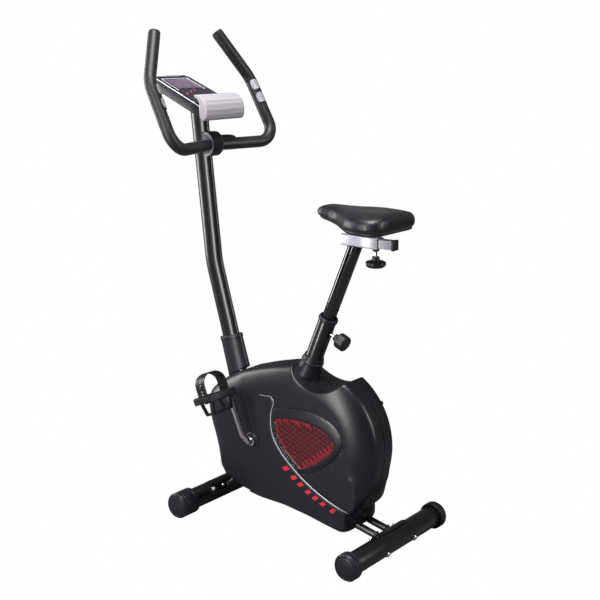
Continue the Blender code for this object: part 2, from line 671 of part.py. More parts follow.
def seat_slider():
    """Inner square bar with the saddle's bracket standing through the sleeve's slot."""
    bar = block("seat_slider", place(0.216, 0, SLIDER_Z), (0.146, 0.0224, 0.0244), "silver_paint")
    weld(bar, block("saddle_post_guide", place(0.200, 0, 0.8745), (0.080, 0.0140, 0.0290), "black_steel"))
    plug = block("slider_end_plug", place(0.2934, 0, SLIDER_Z), (0.0082, 0.0260, 0.0280),
                 "black_plastic", 0.002)
    pan = saddle_form("saddle_base", 0.0122, 0.0010, 0.0135, "black_plastic")
    cut(pan, block("pan_guide", place(0.200, 0, 0.8765), (0.0806, 0.0146, 0.0256), "black_plastic"))
    pad = saddle_form("saddle_pad", 0.0, 0.0, None, "vinyl")
    cut(pad, saddle_form("pad_guide", 0.0119, -0.020, 0.0138, "vinyl"))
    start = place(KNOB_X, 0, KNOB_TOP)
    profile = [(-0.0185, 0), (-0.0185, 0.0038), (0.004, 0.0038), (0.004, 0.0105), (0.014, 0.0105),
               (0.018, 0.0255), (0.023, 0.0275), (0.030, 0.0255), (0.034, 0.018), (0.034, 0)]
    knob = turned("slider_knob", profile, start, -Z, "black_plastic", 20)
    carried("slider_knob_axis", start, knob)
    carried("seat_slide_axis", place(0.228, 0, SLIDER_Z), bar, plug, pan, pad)


SADDLE = ((0.046, 0.014, 0.908, 0.923), (0.056, 0.027, 0.904, 0.933), (0.075, 0.034, 0.899, 0.938),
          (0.100, 0.038, 0.895, 0.938), (0.130, 0.047, 0.889, 0.937), (0.160, 0.068, 0.884, 0.936),
          (0.190, 0.090, 0.881, 0.936), (0.220, 0.104, 0.880, 0.936), (0.250, 0.110, 0.880, 0.936),
          (0.280, 0.109, 0.8805, 0.936), (0.298, 0.103, 0.882, 0.935), (0.304, 0.097, 0.886, 0.931))


def saddle_form(name, inset, rise, thick, finish):
    """A pear-shaped solid: narrow nose in front, wide at the back.

    It is drawn in from the saddle's outline by inset, and starts rise above the saddle's lower
    edge. With a thickness it is a plate, and without one it reaches the saddle's domed top."""
    rings = []
    for x, half, low, high in SADDLE:
        floor = low + rise
        ceiling = low + thick if thick else high
        width = max(half - inset, 0.004)
        deep = ceiling - floor
        section = [(width, floor), (width, ceiling)]
        if not thick:
            section = [(width * 0.96, floor), (width, floor + deep * 0.25),
                       (width * 0.97, floor + deep * 0.70), (width * 0.72, floor + deep * 0.95),
                       (0.001, ceiling)]
        section += [(-y, z) for y, z in section[::-1]]
        along = 0.175 + (x - 0.175) * (1 - inset / 0.129)
        rings.append([place(along, y, z) for y, z in section])
    shape = bmesh.new()
    skin(shape, rings)
    return add(name, shape, finish)


# ---- Handlebar and console ----------------------------------------------------------------
def post_corners():
    """The handlebar post's bend, above the part of it inside the boot."""
    foot = POST_FOOT + POST_AXIS * 0.330
    return rounded([(foot, 0), (place(-0.342, 0, 0.727), 0.25), (place(-0.3925, 0, 1.171), 0)], 3)


def handlebar_post():
    post = swept("handlebar_post", post_corners(), 0.016, 0.031, "black_steel", SIDES, WALL)
    yoke = rod("yoke_guide", BAR_AXIS - Y * 0.0165, BAR_AXIS + Y * 0.0165, BAR_R + 0.003,
               "black_steel", SIDES)
    bore = rod("bar_bore_guide", BAR_AXIS - Y * 0.05, BAR_AXIS + Y * 0.05, BAR_R + 0.0004,
               "black_steel", SIDES)
    plate = block("mast_plate_guide", place(-0.3925, 0, 1.172), (0.070, 0.060, 0.004),
                  "black_steel", 0, CONSOLE_TILT)
    weld(post, yoke, plate)
    cut(post, bore)


def bar_half(side):
    """Corners of half of the handlebar, from the middle out and up; side is -1 for left."""
    return [(place(-0.3365, side * 0.030, 1.067), 0.030), (place(-0.280, side * 0.2115, 1.069), 0.050),
            (place(-0.377, side * 0.205, 1.248), 0.100), (place(-0.4345, side * 0.1265, 1.379), 0)]


def handlebar():
    corners = [*reversed(bar_half(-1)), *bar_half(1)]
    pieces = [swept("handlebar", rounded(corners, 3), BAR_R, BAR_R, "black_steel", FINE, WALL)]
    for side, hand in ((-1, "left"), (1, "right")):
        line = rounded([(place(-0.3365, side * 0.0245, 1.067), 0), *bar_half(side)], 3)
        pieces.append(foam(f"{hand}_foam_grip", line))
        pieces.append(pulse_sensor(f"{hand}_pulse_sensor", side))
    carried("handlebar_axis", BAR_AXIS, *pieces)


def foam(name, line):
    """A foam sleeve round the bar."""
    side = None
    outer, inner = [], []
    for k, point in enumerate(line):
        along = (line[min(k + 1, len(line) - 1)] - line[max(k - 1, 0)]).normalized()
        if side is None:
            side, _ = frame_on(along)
        side = (side - along * along.dot(side)).normalized()
        up = along.cross(side)
        outer.append(ring(point, side, up, GRIP_R, GRIP_R, FINE))
        inner.append(ring(point, side, up, BAR_R + 0.0010, BAR_R + 0.0010, FINE))
    shape = bmesh.new()
    skin(shape, outer + inner[::-1], closed=True)
    return add(name, shape, "foam")


def pulse_sensor(name, side):
    """A curved contact plate on the rider's side of the grip."""
    low, high = place(-0.335, side * 0.209, 1.172), place(-0.372, side * 0.2035, 1.239)
    along = (high - low).normalized()
    toward = Vector((0.86, -side * 0.5, 0.2))
    toward = (toward - along * along.dot(toward)).normalized()
    cross = along.cross(toward)
    rings = []
    for centre in (low, high):
        points = []
        for radius, turns in ((GRIP_R + 0.0034, range(-3, 4)), (GRIP_R + 0.0016, range(3, -4, -1))):
            for k in turns:
                angle = radians(13.5 * k)
                points.append(centre + toward * radius * cos(angle) + cross * radius * sin(angle))
        rings.append(points)
    shape = bmesh.new()
    skin(shape, rings)
    return add(name, shape, "chrome")


COVER_X, COVER_R, COVER_HALF = -0.3485, 0.032, 0.0215
COVER_RAISE, COVER_STRETCH = 0.0025, 1.10


def cover_outline(radius, front):
    """The clamp cover from the side: a D, whose open front follows the post's rear wall."""
    outline = [(x, BAR_AXIS.z + COVER_RAISE + (z - BAR_AXIS.z) * COVER_STRETCH)
               for x, z in arc(COVER_X + MID_X, BAR_AXIS.z, radius, -100, 100, 12)]
    return [*outline, (front + MID_X - 0.0045, outline[-1][1]), (front + MID_X + 0.0030, outline[0][1])]


def clamp():
    """Plastic cover over the clamp, and the tightening knob: a barrel on a long stem."""
    cover = prism("clamp_cover", cover_outline(COVER_R, -0.3565), -COVER_HALF, COVER_HALF,
                  "black_plastic")
    inner = prism("cover_hollow_guide", cover_outline(COVER_R - 0.003, -0.390), 0.003 - COVER_HALF,
                  COVER_HALF - 0.003, "black_plastic")
    post = swept("cover_post_guide", post_corners(), 0.0166, 0.0316, "black_plastic", SIDES)
    bore = rod("cover_bore_guide", BAR_AXIS - Y * 0.04, BAR_AXIS + Y * 0.04, BAR_R + 0.001,
               "black_plastic", SIDES)
    cut(cover, inner, post, bore)
    start = place(-0.366, 0.0157, 1.076)
    profile = [(0, 0), (0, 0.0055), (0.0300, 0.0055), (0.0300, 0.0095), (0.0400, 0.0128),
               (0.0550, 0.0138), (0.0850, 0.0138), (0.1050, 0.0120), (0.1200, 0.0085), (0.1200, 0)]
    knob = turned("clamp_knob", profile, start, Y, "black_plastic")
    carried("clamp_knob_axis", start, knob)


def on_console(along, across, above):
    """A point on the console's face; along is rearward and down the slope."""
    slope = Vector((cos(CONSOLE_TILT), 0, -sin(CONSOLE_TILT)))
    normal = Vector((sin(CONSOLE_TILT), 0, cos(CONSOLE_TILT)))
    return CONSOLE_MID + slope * along + Y * across + normal * above


def slab(name, levels, half, finish):
    """A plate on the console's slope. Levels are (height over the face, rear end, shrink)."""
    rings = []
    for height, rear, shrink in levels:
        corners = [(a * shrink, c * shrink) for a, c in half] + [(rear, half[-1][1] * shrink - 0.002)]
        corners += [(a, -c) for a, c in corners[::-1]]
        rings.append([on_console(a, c, height) for a, c in corners])
    shape = bmesh.new()
    skin(shape, rings)
    return add(name, shape, finish)


CASE_DEPTH = 0.0295


def console():
    half = [(-0.102, 0.062), (-0.091, 0.071), (0.080, 0.0765)]
    levels = [(0.0, 0.0938, 1.0), (-0.0027, 0.1027, 1.0), (-0.0100, 0.1086, 1.0),
              (-CASE_DEPTH, 0.1165, 0.96)]
    body = slab("console_body", levels, half, "black_plastic")
    inner = [(-0.096, 0.058), (-0.088, 0.064), (0.078, 0.0710)]
    hollow = [(-0.0060, 0.0900, 1.0), (-0.0120, 0.1040, 1.0), (-0.0600, 0.1060, 0.95)]
    window = [(-0.0770, 0.0465), (-0.0140, 0.0465)]
    cut(body, slab("console_hollow_guide", hollow, inner, "black_plastic"),
        slab("window_guide", [(-0.0016, -0.0130, 1.0), (0.0100, -0.0130, 1.0)], window, "glass"))
    pane = [(-0.0767, 0.0462), (-0.0140, 0.0462)]
    slab("lcd_window", [(-0.0013, -0.0133, 1.0), (0.0006, -0.0133, 1.0)], pane, "glass")
    for name, along, across in (("down_button", 0.0220, -0.0440), ("mode_button", 0.0110, -0.0190),
                                ("up_button", 0.0000, 0.0060)):
        start, end = on_console(along, across, -0.0035), on_console(along, across, 0.0024)
        well = rod(f"{name}_well_guide", on_console(along, across, -0.0055),
                   on_console(along, across, 0.01), 0.0048, "red_plastic", FINE)
        cut(body, well)
        carried(f"{name}_axis", start, rod(name, start, end, 0.0045, "red_plastic", FINE))
    nose()


def nose():
    """Pale apron at the lower end of the console: a lip over the face, rolling down to its rear."""
    outer = [(-0.334, 1.2118), (-0.322, 1.2120), (-0.309, 1.2064), (-0.297, 1.1975), (-0.290, 1.186),
             (-0.2870, 1.171), (-0.2875, 1.157), (-0.2905, 1.147), (-0.2965, 1.1415), (-0.303, 1.1405)]
    inner = [(-0.3095, 1.144), (-0.3130, 1.152), (-0.3152, 1.165), (-0.3152, 1.190), (-0.3230, 1.2015),
             (-0.334, 1.2065)]
    middle = Vector((-0.304, 1.177))
    rings = []
    for y, shrink in ((-0.0795, 0.96), (-0.0765, 1.0), (0.0765, 1.0), (0.0795, 0.96)):
        points = [middle + (Vector(p) - middle) * shrink for p in outer + inner]
        rings.append([place(p.x, y, p.y) for p in points])
    shape = bmesh.new()
    skin(shape, rings)
    add("console_nose", shape, "grey_plastic")


def build():
    for thing in list(bpy.data.objects):
        bpy.data.objects.remove(thing, do_unlink=True)
    stabilisers()
    base_frame()
    fasteners()
    seat_tube()
    post_stub()
    flywheel_brackets()
    crank()
    bearings()
    belt()
    flywheel()
    idler()
    brake()
    for side, hand in ((-1, "left"), (1, "right")):
        pedal(side, hand)
    housing()
    seat_tube_boot()
    post_boot()
    seat_post()
    pop_pin()
    seat_slider()
    handlebar_post()
    handlebar()
    clamp()
    console()


build()
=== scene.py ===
"""Looks of an upright magnetic exercise bike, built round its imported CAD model.

Metres, +Z up. The bike faces -X and the rider's left side is -Y. place() takes x from the
point midway between the two stabiliser tubes, as the CAD source does.
"""
import bmesh
import bpy
import json
import numpy as np
from math import atan2, cos, pi, radians, sin, sqrt, tan
from mathutils import Matrix, Vector
from mathutils.bvhtree import BVHTree
from mathutils.geometry import delaunay_2d_cdt


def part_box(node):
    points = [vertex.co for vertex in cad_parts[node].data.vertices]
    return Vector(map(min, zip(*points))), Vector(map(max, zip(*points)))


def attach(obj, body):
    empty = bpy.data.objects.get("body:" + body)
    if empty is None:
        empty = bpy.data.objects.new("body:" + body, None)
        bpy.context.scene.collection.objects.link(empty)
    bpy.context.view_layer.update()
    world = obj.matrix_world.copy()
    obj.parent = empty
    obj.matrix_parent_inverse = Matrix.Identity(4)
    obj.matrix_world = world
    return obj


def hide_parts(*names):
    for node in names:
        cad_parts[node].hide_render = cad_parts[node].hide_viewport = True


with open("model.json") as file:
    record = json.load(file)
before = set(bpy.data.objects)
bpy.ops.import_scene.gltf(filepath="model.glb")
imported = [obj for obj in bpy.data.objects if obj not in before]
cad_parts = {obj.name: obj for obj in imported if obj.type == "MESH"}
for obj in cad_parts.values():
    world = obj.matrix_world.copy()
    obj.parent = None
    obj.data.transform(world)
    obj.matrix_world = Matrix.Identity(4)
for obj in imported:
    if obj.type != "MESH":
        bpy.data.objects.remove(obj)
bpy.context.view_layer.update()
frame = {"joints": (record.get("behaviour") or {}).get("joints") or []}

X, Y, Z = Vector((1, 0, 0)), Vector((0, 1, 0)), Vector((0, 0, 1))
SIDES = ((-1, "left"), (1, "right"))
JOINTS = {joint["name"]: joint for joint in frame["joints"]}


def middle(node):
    low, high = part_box(node)
    return (low + high) / 2


def extent(node):
    low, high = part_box(node)
    return high - low


def pivot(joint):
    return Vector(JOINTS[joint]["pos_m"])


def direction(joint):
    return Vector(JOINTS[joint]["axis"]).normalized()


def pin_direction():
    """The pop pin's axis, pointing rearward."""
    pin = direction("pop_pin_pull")
    return pin if pin.x > 0 else -pin


FRONT_AXLE = middle("front_stabiliser_tube")
REAR_AXLE = middle("rear_stabiliser_tube")
MID_X = (FRONT_AXLE.x + REAR_AXLE.x) / 2
STABILISER_R = extent("front_stabiliser_tube").z / 2
CAP_R = extent("front_left_roller").z / 2
HALF_STANCE = -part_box("front_left_roller")[0].y
CRANK = pivot("crank_spin")
SEAT_AXIS = direction("seat_height")
BAR_AXIS = pivot("handlebar_tilt")


def place(x, y, z):
    return Vector((x + MID_X, y, z))


# ---- Materials ----------------------------------------------------------------------------
def surface(name, color, roughness, metallic=0.0, patch=0.05, mottle=0.15, grain=0.0008,
            depth=0.00004, cells=False, stretch=(1, 1, 1), uneven=0.08, wear=0.0, **constants):
    """A moulded, painted or woven finish: drifting colour, uneven gloss and a fine grain.

    patch and grain are the sizes of the colour drift and of the grain in metres, depth is the
    height of the grain, and wear is how much pale scuffing shows on convex edges."""
    material = bpy.data.materials.new(name)
    material.use_nodes = True
    nodes, links = material.node_tree.nodes, material.node_tree.links
    shader = nodes["Principled BSDF"]
    shader.inputs["Metallic"].default_value = metallic
    for socket, value in constants.items():
        shader.inputs[socket.replace("_", " ")].default_value = value
    where = nodes.new("ShaderNodeTexCoord").outputs["Object"]
    scaled = nodes.new("ShaderNodeMapping")
    scaled.inputs["Scale"].default_value = stretch
    links.new(where, scaled.inputs["Vector"])
    drift = nodes.new("ShaderNodeTexNoise")
    drift.inputs["Scale"].default_value = 1 / patch
    drift.inputs["Detail"].default_value = 4
    links.new(scaled.outputs["Vector"], drift.inputs["Vector"])
    tone = nodes.new("ShaderNodeMix")
    tone.data_type = "RGBA"
    tone.inputs["A"].default_value = (*[c * (1 - mottle) for c in color], 1)
    tone.inputs["B"].default_value = (*[min(1, c * (1 + mottle)) for c in color], 1)
    links.new(drift.outputs["Fac"], tone.inputs["Factor"])
    gloss = nodes.new("ShaderNodeMapRange")
    gloss.inputs["To Min"].default_value = max(0.02, roughness - uneven)
    gloss.inputs["To Max"].default_value = min(1, roughness + uneven)
    links.new(drift.outputs["Fac"], gloss.inputs["Value"])
    links.new(gloss.outputs["Result"], shader.inputs["Roughness"])
    color_out = tone.outputs["Result"]
    if wear:
        edge = nodes.new("ShaderNodeNewGeometry").outputs["Pointiness"]
        band = nodes.new("ShaderNodeMapRange")
        band.inputs["From Min"].default_value = 0.52
        band.inputs["From Max"].default_value = 0.62
        band.inputs["To Max"].default_value = wear
        links.new(edge, band.inputs["Value"])
        broken = nodes.new("ShaderNodeMath")
        broken.operation = "MULTIPLY"
        links.new(band.outputs["Result"], broken.inputs[0])
        links.new(drift.outputs["Fac"], broken.inputs[1])
        scuffed = nodes.new("ShaderNodeMix")
        scuffed.data_type = "RGBA"
        scuffed.inputs["B"].default_value = (*[min(1, c * 3 + 0.05) for c in color], 1)
        links.new(broken.outputs["Value"], scuffed.inputs["Factor"])
        links.new(color_out, scuffed.inputs["A"])
        color_out = scuffed.outputs["Result"]
    links.new(color_out, shader.inputs["Base Color"])
    fine = nodes.new("ShaderNodeTexVoronoi" if cells else "ShaderNodeTexNoise")
    fine.inputs["Scale"].default_value = 1 / grain
    links.new(scaled.outputs["Vector"], fine.inputs["Vector"])
    bump = nodes.new("ShaderNodeBump")
    bump.inputs["Distance"].default_value = depth
    links.new(fine.outputs["Distance" if cells else "Fac"], bump.inputs["Height"])
    links.new(bump.outputs["Normal"], shader.inputs["Normal"])
    return material


MATTE_BLACK = surface("matte_black_plastic", (0.0095, 0.0082, 0.0118), 0.40, grain=0.0007, depth=0.000012,
                      wear=0.08, Specular_IOR_Level=0.42)
SHELL_BLACK = surface("housing_black", (0.0078, 0.0070, 0.0102), 0.34, grain=0.0006, depth=0.000008,
                      uneven=0.03, wear=0.05, Specular_IOR_Level=0.50)
POWDER_BLACK = surface("powder_coat_black", (0.0045, 0.0041, 0.0054), 0.30, grain=0.0014,
                       depth=0.000012, uneven=0.03, wear=0.15, Coat_Weight=0.25, Coat_Roughness=0.18)
GLOSS_BLACK = surface("gloss_black_steel", (0.0035, 0.0033, 0.0042), 0.12, grain=0.0020, depth=0.00003,
                      uneven=0.04, Coat_Weight=0.6, Coat_Roughness=0.08)
PALE_GREY = surface("pale_grey_plastic", (0.44, 0.42, 0.455), 0.42, grain=0.0006, depth=0.00005,
                    mottle=0.04)
SILVER = surface("silver_paint", (0.60, 0.58, 0.66), 0.36, metallic=0.35, grain=0.0005,
                 depth=0.00003, mottle=0.10, patch=0.02)
TRIM_SILVER = surface("silver_trim", (0.50, 0.485, 0.53), 0.40, metallic=0.30, grain=0.0005,
                      depth=0.00002, mottle=0.05)
CHROME = surface("chrome_plate", (0.70, 0.69, 0.72), 0.14, metallic=1.0, grain=0.003, depth=0.00004,
                 mottle=0.08)
SENSOR = surface("brushed_sensor", (0.74, 0.72, 0.76), 0.30, metallic=0.75, grain=0.0008,
                 depth=0.00004, mottle=0.10, patch=0.01)
ZINC = surface("zinc_plate", (0.62, 0.62, 0.66), 0.30, metallic=1.0, grain=0.0010, depth=0.00005,
               mottle=0.15, patch=0.008)
IRON = surface("cast_iron", (0.16, 0.16, 0.17), 0.58, metallic=0.9, grain=0.0012, depth=0.00012,
               mottle=0.3, patch=0.02)
FOAM = surface("grip_foam", (0.0050, 0.0046, 0.0058), 0.46, cells=True, grain=0.0011, depth=0.00008,
               patch=0.02, mottle=0.25, Sheen_Weight=0.10, Sheen_Roughness=0.45)
VINYL = surface("saddle_vinyl", (0.0085, 0.0074, 0.0105), 0.36, cells=True, grain=0.0016,
                depth=0.00012, patch=0.03, mottle=0.2, Sheen_Weight=0.08, Sheen_Roughness=0.4)
RUBBER = surface("black_rubber", (0.0085, 0.0082, 0.0092), 0.50, grain=0.0009, depth=0.00008,
                 mottle=0.2)
THREAD = surface("thread", (0.05, 0.03, 0.04), 0.7, grain=0.0004, depth=0.0001)
GLASS = surface("display_glass", (0.075, 0.065, 0.095), 0.07, grain=0.004, depth=0.00001,
                mottle=0.08, Coat_Weight=0.8, Coat_Roughness=0.03)
SEGMENT = surface("display_segment", (0.27, 0.13, 0.18), 0.35, grain=0.001, depth=0.00001)
RED = surface("red_plastic", (0.21, 0.006, 0.012), 0.50, grain=0.0008, depth=0.00002, mottle=0.25,
              patch=0.012, Specular_IOR_Level=0.30)
RED_PRINT = surface("red_print", (0.66, 0.020, 0.035), 0.38, grain=0.0008, depth=0.00002,
                    mottle=0.10)
PINK_PRINT = surface("pink_print", (0.50, 0.20, 0.26), 0.45, grain=0.0008, depth=0.00002)
# pale grey for the clamp cover's rim: a painted highlight of the cover's edge, not the rim's own colour
RIM_PAINTED_HIGHLIGHT = surface("clamp_rim_grey", (0.30, 0.29, 0.32), 0.40, grain=0.0006, depth=0.00004)
CHEEK_GREY = surface("clamp_cheek_grey", (0.105, 0.100, 0.115), 0.42, grain=0.0006, depth=0.00004)
RIM_WHITE = surface("console_edge_white", (0.78, 0.77, 0.82), 0.36, grain=0.0006, depth=0.00004)
LCD_GREY = surface("lcd_panel_grey", (0.110, 0.094, 0.128), 0.34, grain=0.0010, depth=0.00001)
BUTTON_RED = surface("button_red", (0.30, 0.055, 0.085), 0.42, grain=0.0008, depth=0.00003)
FACE_PURPLE = surface("console_face_film", (0.034, 0.029, 0.042), 0.34, grain=0.0008, depth=0.00003)
DULL_PRINT = surface("dull_red_print", (0.34, 0.10, 0.14), 0.45, grain=0.0008, depth=0.00002)
STRAP_RUBBER = surface("strap_rubber", (0.0095, 0.0090, 0.0105), 0.36, grain=0.0009, depth=0.00008)


# ---- Mesh helpers -------------------------------------------------------------------------
def piece(name, shape, paint, body, replaces=(), sharp=38, bevel=0.0, keep_normals=False):
    """Turn a bmesh into a shown piece that rides on a body and takes its finish from a slot."""
    if not keep_normals:
        bmesh.ops.recalc_face_normals(shape, faces=shape.faces)
    mesh = bpy.data.meshes.new(name)
    shape.to_mesh(mesh)
    shape.free()
    mesh.shade_smooth()
    mesh.set_sharp_from_angle(angle=radians(sharp))
    mesh.materials.append(paint)
    thing = bpy.data.objects.new(name, mesh)
    bpy.context.scene.collection.objects.link(thing)
    if bevel:
        edge = thing.modifiers.new("edges", "BEVEL")
        edge.width = bevel
        edge.segments = 3
        edge.limit_method = "ANGLE"
        edge.angle_limit = radians(40)
        edge.harden_normals = True
    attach(thing, body)
    if replaces:
        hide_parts(*replaces)
    return thing


def merge(*shapes):
    """One bmesh that holds several, each still its own shell."""
    whole = bmesh.new()
    for shape in shapes:
        bmesh.ops.recalc_face_normals(shape, faces=shape.faces)
        carrier = bpy.data.meshes.new("carrier")
        shape.to_mesh(carrier)
        shape.free()
        whole.from_mesh(carrier)
        bpy.data.meshes.remove(carrier)
    return whole


def across(axis):
    """Two unit vectors square to axis and to each other; the first lies along Y if it can."""
    axis = axis.normalized()
    side = Y - axis * axis.dot(Y)
    if side.length < 1e-4:
        side = Z.copy()
    side.normalize()
    return side, axis.cross(side)


def fillet(corners, radius, steps=5, closed=False):
    """Round the corners of a path. radius is one number, or one for each corner."""
    count = len(corners)
    radii = [radius] * count if isinstance(radius, (int, float)) else list(radius)
    path = []
    for k, corner in enumerate(corners):
        if not closed and k in (0, count - 1) or radii[k] <= 0:
            path.append(corner.copy())
            continue
        back = corners[k - 1] - corner
        ahead = corners[(k + 1) % count] - corner
        half = back.angle(ahead, pi) / 2
        if half > radians(89.5):
            path.append(corner.copy())
            continue
        reach = min(radii[k] / tan(half), 0.49 * back.length, 0.49 * ahead.length)
        bend = reach * tan(half)
        back, ahead = back.normalized(), ahead.normalized()
        centre = corner + (back + ahead).normalized() * (bend / sin(half))
        first = (corner + back * reach - centre) / bend
        last = (corner + ahead * reach - centre) / bend
        sweep_angle = pi - 2 * half
        for n in range(steps + 1):
            a = sweep_angle * n / steps
            mix = (first * sin(sweep_angle - a) + last * sin(a)) / sin(sweep_angle)
            path.append(centre + mix * bend)
    return path


def flat(*pairs):
    return [Vector(pair) for pair in pairs]


def loft(rings, closed=False):
    """Skin rings of points with quads. A one-point ring is a tip, and open ends are capped."""
    shape = bmesh.new()
    verts = [[shape.verts.new(point) for point in points] for points in rings]
    following = verts[1:] + verts[:1] if closed else verts[1:]
    for one, two in zip(verts, following):
        count = max(len(one), len(two))
        for k in range(count):
            after = (k + 1) % count
            corners = [one[k % len(one)], one[after % len(one)], two[after % len(two)], two[k % len(two)]]
            shape.faces.new([v for n, v in enumerate(corners) if v not in corners[:n]])
    if not closed:
        for end in (verts[0], verts[-1]):
            if len(end) > 2:
                shape.faces.new(end)
    return shape


def circle(centre, side, up, radius, count, swell=None):
    points = []
    for k in range(count):
        turn = 2 * pi * k / count
        reach = radius * (swell(turn) if swell else 1)
        points.append(centre + side * reach * cos(turn) + up * reach * sin(turn))
    return points


def lathe(profile, start, axis, count=64, hollow=False, swell=None):
    """Revolve (along, radius) pairs. swell(turn, along) scales the radius, for lobes and flutes."""
    side, up = across(axis)
    axis = axis.normalized()
    rings = []
    for along, radius in profile:
        centre = start + axis * along
        lobes = (lambda turn, here=along: swell(turn, here)) if swell else None
        rings.append(circle(centre, side, up, radius, count, lobes) if radius > 1e-6 else [centre])
    return loft(rings, closed=hollow)


def soft_lathe(corners, radius, start, axis, count=64, hollow=False, swell=None, steps=4):
    """lathe() with the profile's corners rounded."""
    return lathe(fillet(flat(*corners), radius, steps, closed=hollow), start, axis, count, hollow, swell)


def tube(start, end, radius, bore, count=72, lip=0.0008):
    length = (end - start).length
    corners = ((0, bore), (0, radius), (length, radius), (length, bore))
    return soft_lathe(corners, lip, start, end - start, count, hollow=True, steps=2)


def sweep(path, section, closed=False, first_side=None, inner=None):
    """Carry a section of (side, up) pairs along a path. inner makes it an open tube."""
    outer_rings, inner_rings = [], []
    side = first_side
    last = len(path) - 1
    for k, point in enumerate(path):
        before = path[k - 1] if k or closed else path[0]
        after = path[(k + 1) % len(path)] if k < last or closed else path[last]
        along = (after - before).normalized()
        if side is None:
            side, _ = across(along)
        side = (side - along * along.dot(side)).normalized()
        up = along.cross(side)
        shown = section(k) if callable(section) else section
        outer_rings.append([point + side * s + up * u for s, u in shown])
        if inner:
            inner_rings.append([point + side * s + up * u for s, u in inner])
    if inner:
        return loft(outer_rings + inner_rings[::-1], closed=True)
    return loft(outer_rings, closed=closed)


def oval(half_side, half_up, count=48):
    return [(half_side * cos(2 * pi * k / count), half_up * sin(2 * pi * k / count)) for k in range(count)]


def box(centre, size, bevel=0.0, turn=0.0, axis="Y", segments=3):
    shape = bmesh.new()
    bmesh.ops.create_cube(shape, size=1)
    bmesh.ops.scale(shape, vec=size, verts=shape.verts)
    if bevel:
        bmesh.ops.bevel(shape, geom=shape.edges[:], offset=bevel, segments=segments,
                        affect="EDGES", profile=0.5)
    bmesh.ops.rotate(shape, matrix=Matrix.Rotation(turn, 3, axis), verts=shape.verts)
    bmesh.ops.translate(shape, vec=centre, verts=shape.verts)
    return shape


def slab(outline, origin, first, second, normal, low, high, edge=0.0, steps=3):
    """A plate of (first, second) outline pairs, from low to high along normal, edges rounded."""
    count = len(outline)
    inward = []
    for k in range(count):
        along = (outline[(k + 1) % count] - outline[k - 1]).normalized()
        inward.append(Vector((-along.y, along.x)))
    area = sum(outline[k - 1].cross(outline[k]) for k in range(count))
    inward = [v if area > 0 else -v for v in inward]
    rows = []
    for k in range(steps + 1):
        turn = pi / 2 * k / steps
        rows.append((low + edge * (1 - sin(turn)), edge * (1 - cos(turn))))
    rows = rows[::-1] + [(high + low - level, inset) for level, inset in rows]
    if not edge:
        rows = [(low, 0), (high, 0)]
    rings = []
    for level, inset in rows:
        shifted = [p + n * inset for p, n in zip(outline, inward)]
        rings.append([origin + first * p.x + second * p.y + normal * level for p in shifted])
    return loft(rings)


def rod(start, end, radius, count=24):
    return lathe([(0, 0), (0, radius), ((end - start).length, radius), ((end - start).length, 0)],
                 start, end - start, count)


def smooth_loop(points, steps=6):
    """A closed Catmull-Rom curve through points."""
    count = len(points)
    curve = []
    for k in range(count):
        a, b, c, d = (points[(k + n) % count] for n in (-1, 0, 1, 2))
        for n in range(steps):
            t = n / steps
            curve.append(0.5 * ((2 * b) + (c - a) * t + (2 * a - 5 * b + 4 * c - d) * t ** 2
                                + (3 * b - a - 3 * c + d) * t ** 3))
    return curve


def smooth_path(points, steps=6):
    """An open Catmull-Rom curve through points."""
    ends = [points[0] * 2 - points[1], *points, points[-1] * 2 - points[-2]]
    curve = []
    for k in range(1, len(ends) - 2):
        a, b, c, d = ends[k - 1:k + 3]
        for n in range(steps):
            t = n / steps
            curve.append(0.5 * ((2 * b) + (c - a) * t + (2 * a - 5 * b + 4 * c - d) * t ** 2
                                + (3 * b - a - 3 * c + d) * t ** 3))
    curve.append(points[-1])
    return curve


def arc(centre_x, centre_z, radius, first, last, steps):
    turns = [radians(first + (last - first) * k / steps) for k in range(steps + 1)]
    return [Vector((centre_x + radius * cos(t), centre_z + radius * sin(t))) for t in turns]


# ---- Base ---------------------------------------------------------------------------------
def end_caps():
    """Transport rollers on the front tube and end caps, with a flat foot, on the rear one."""
    dome = ((0, 0), (0.0006, 0.0120), (0.0022, 0.0240), (0.0032, 0.0285), (0.0044, 0.0292),
            (0.0044, 0.0305), (0.0030, 0.0312), (0.0034, 0.0340), (0.0085, CAP_R))
    groove = ((0.0015, 0.0), (0.0022, -0.0010), (0.0034, -0.0010), (0.0041, 0.0))
    for side, hand in SIDES:
        for end, axle, body in (("front", FRONT_AXLE, f"{hand}_roller"), ("rear", REAR_AXLE, "root")):
            node = f"front_{hand}_roller" if end == "front" else f"rear_{hand}_end_cap"
            depth = extent(node).y
            bore = STABILISER_R + 0.0010
            marks = (0.014, depth - 0.014) if end == "front" else (depth - 0.010,)
            profile = [*dome]
            for mark in marks:
                profile += [(mark + along, CAP_R + drop) for along, drop in groove]
            profile += [(depth - 0.0016, CAP_R), (depth, CAP_R - 0.0016), (depth, bore),
                        (0.0080, bore), (0.0080, 0)]
            face = axle + Y * side * HALF_STANCE
            cap = soft_lathe(profile, 0.0007, face, Y * -side, 96, steps=3)
            if end == "rear":
                for vert in cap.verts:
                    vert.co.z = max(vert.co.z, 0)
            piece(f"{node}_moulding", cap, MATTE_BLACK, body, [node])


def stabiliser_tubes():
    for end, axle in (("front", FRONT_AXLE), ("rear", REAR_AXLE)):
        half = extent(f"{end}_stabiliser_tube").y / 2
        skin = tube(axle - Y * half, axle + Y * half, STABILISER_R, STABILISER_R - 0.002, 96)
        piece(f"{end}_tube_skin", skin, POWDER_BLACK, "root", [f"{end}_stabiliser_tube"])


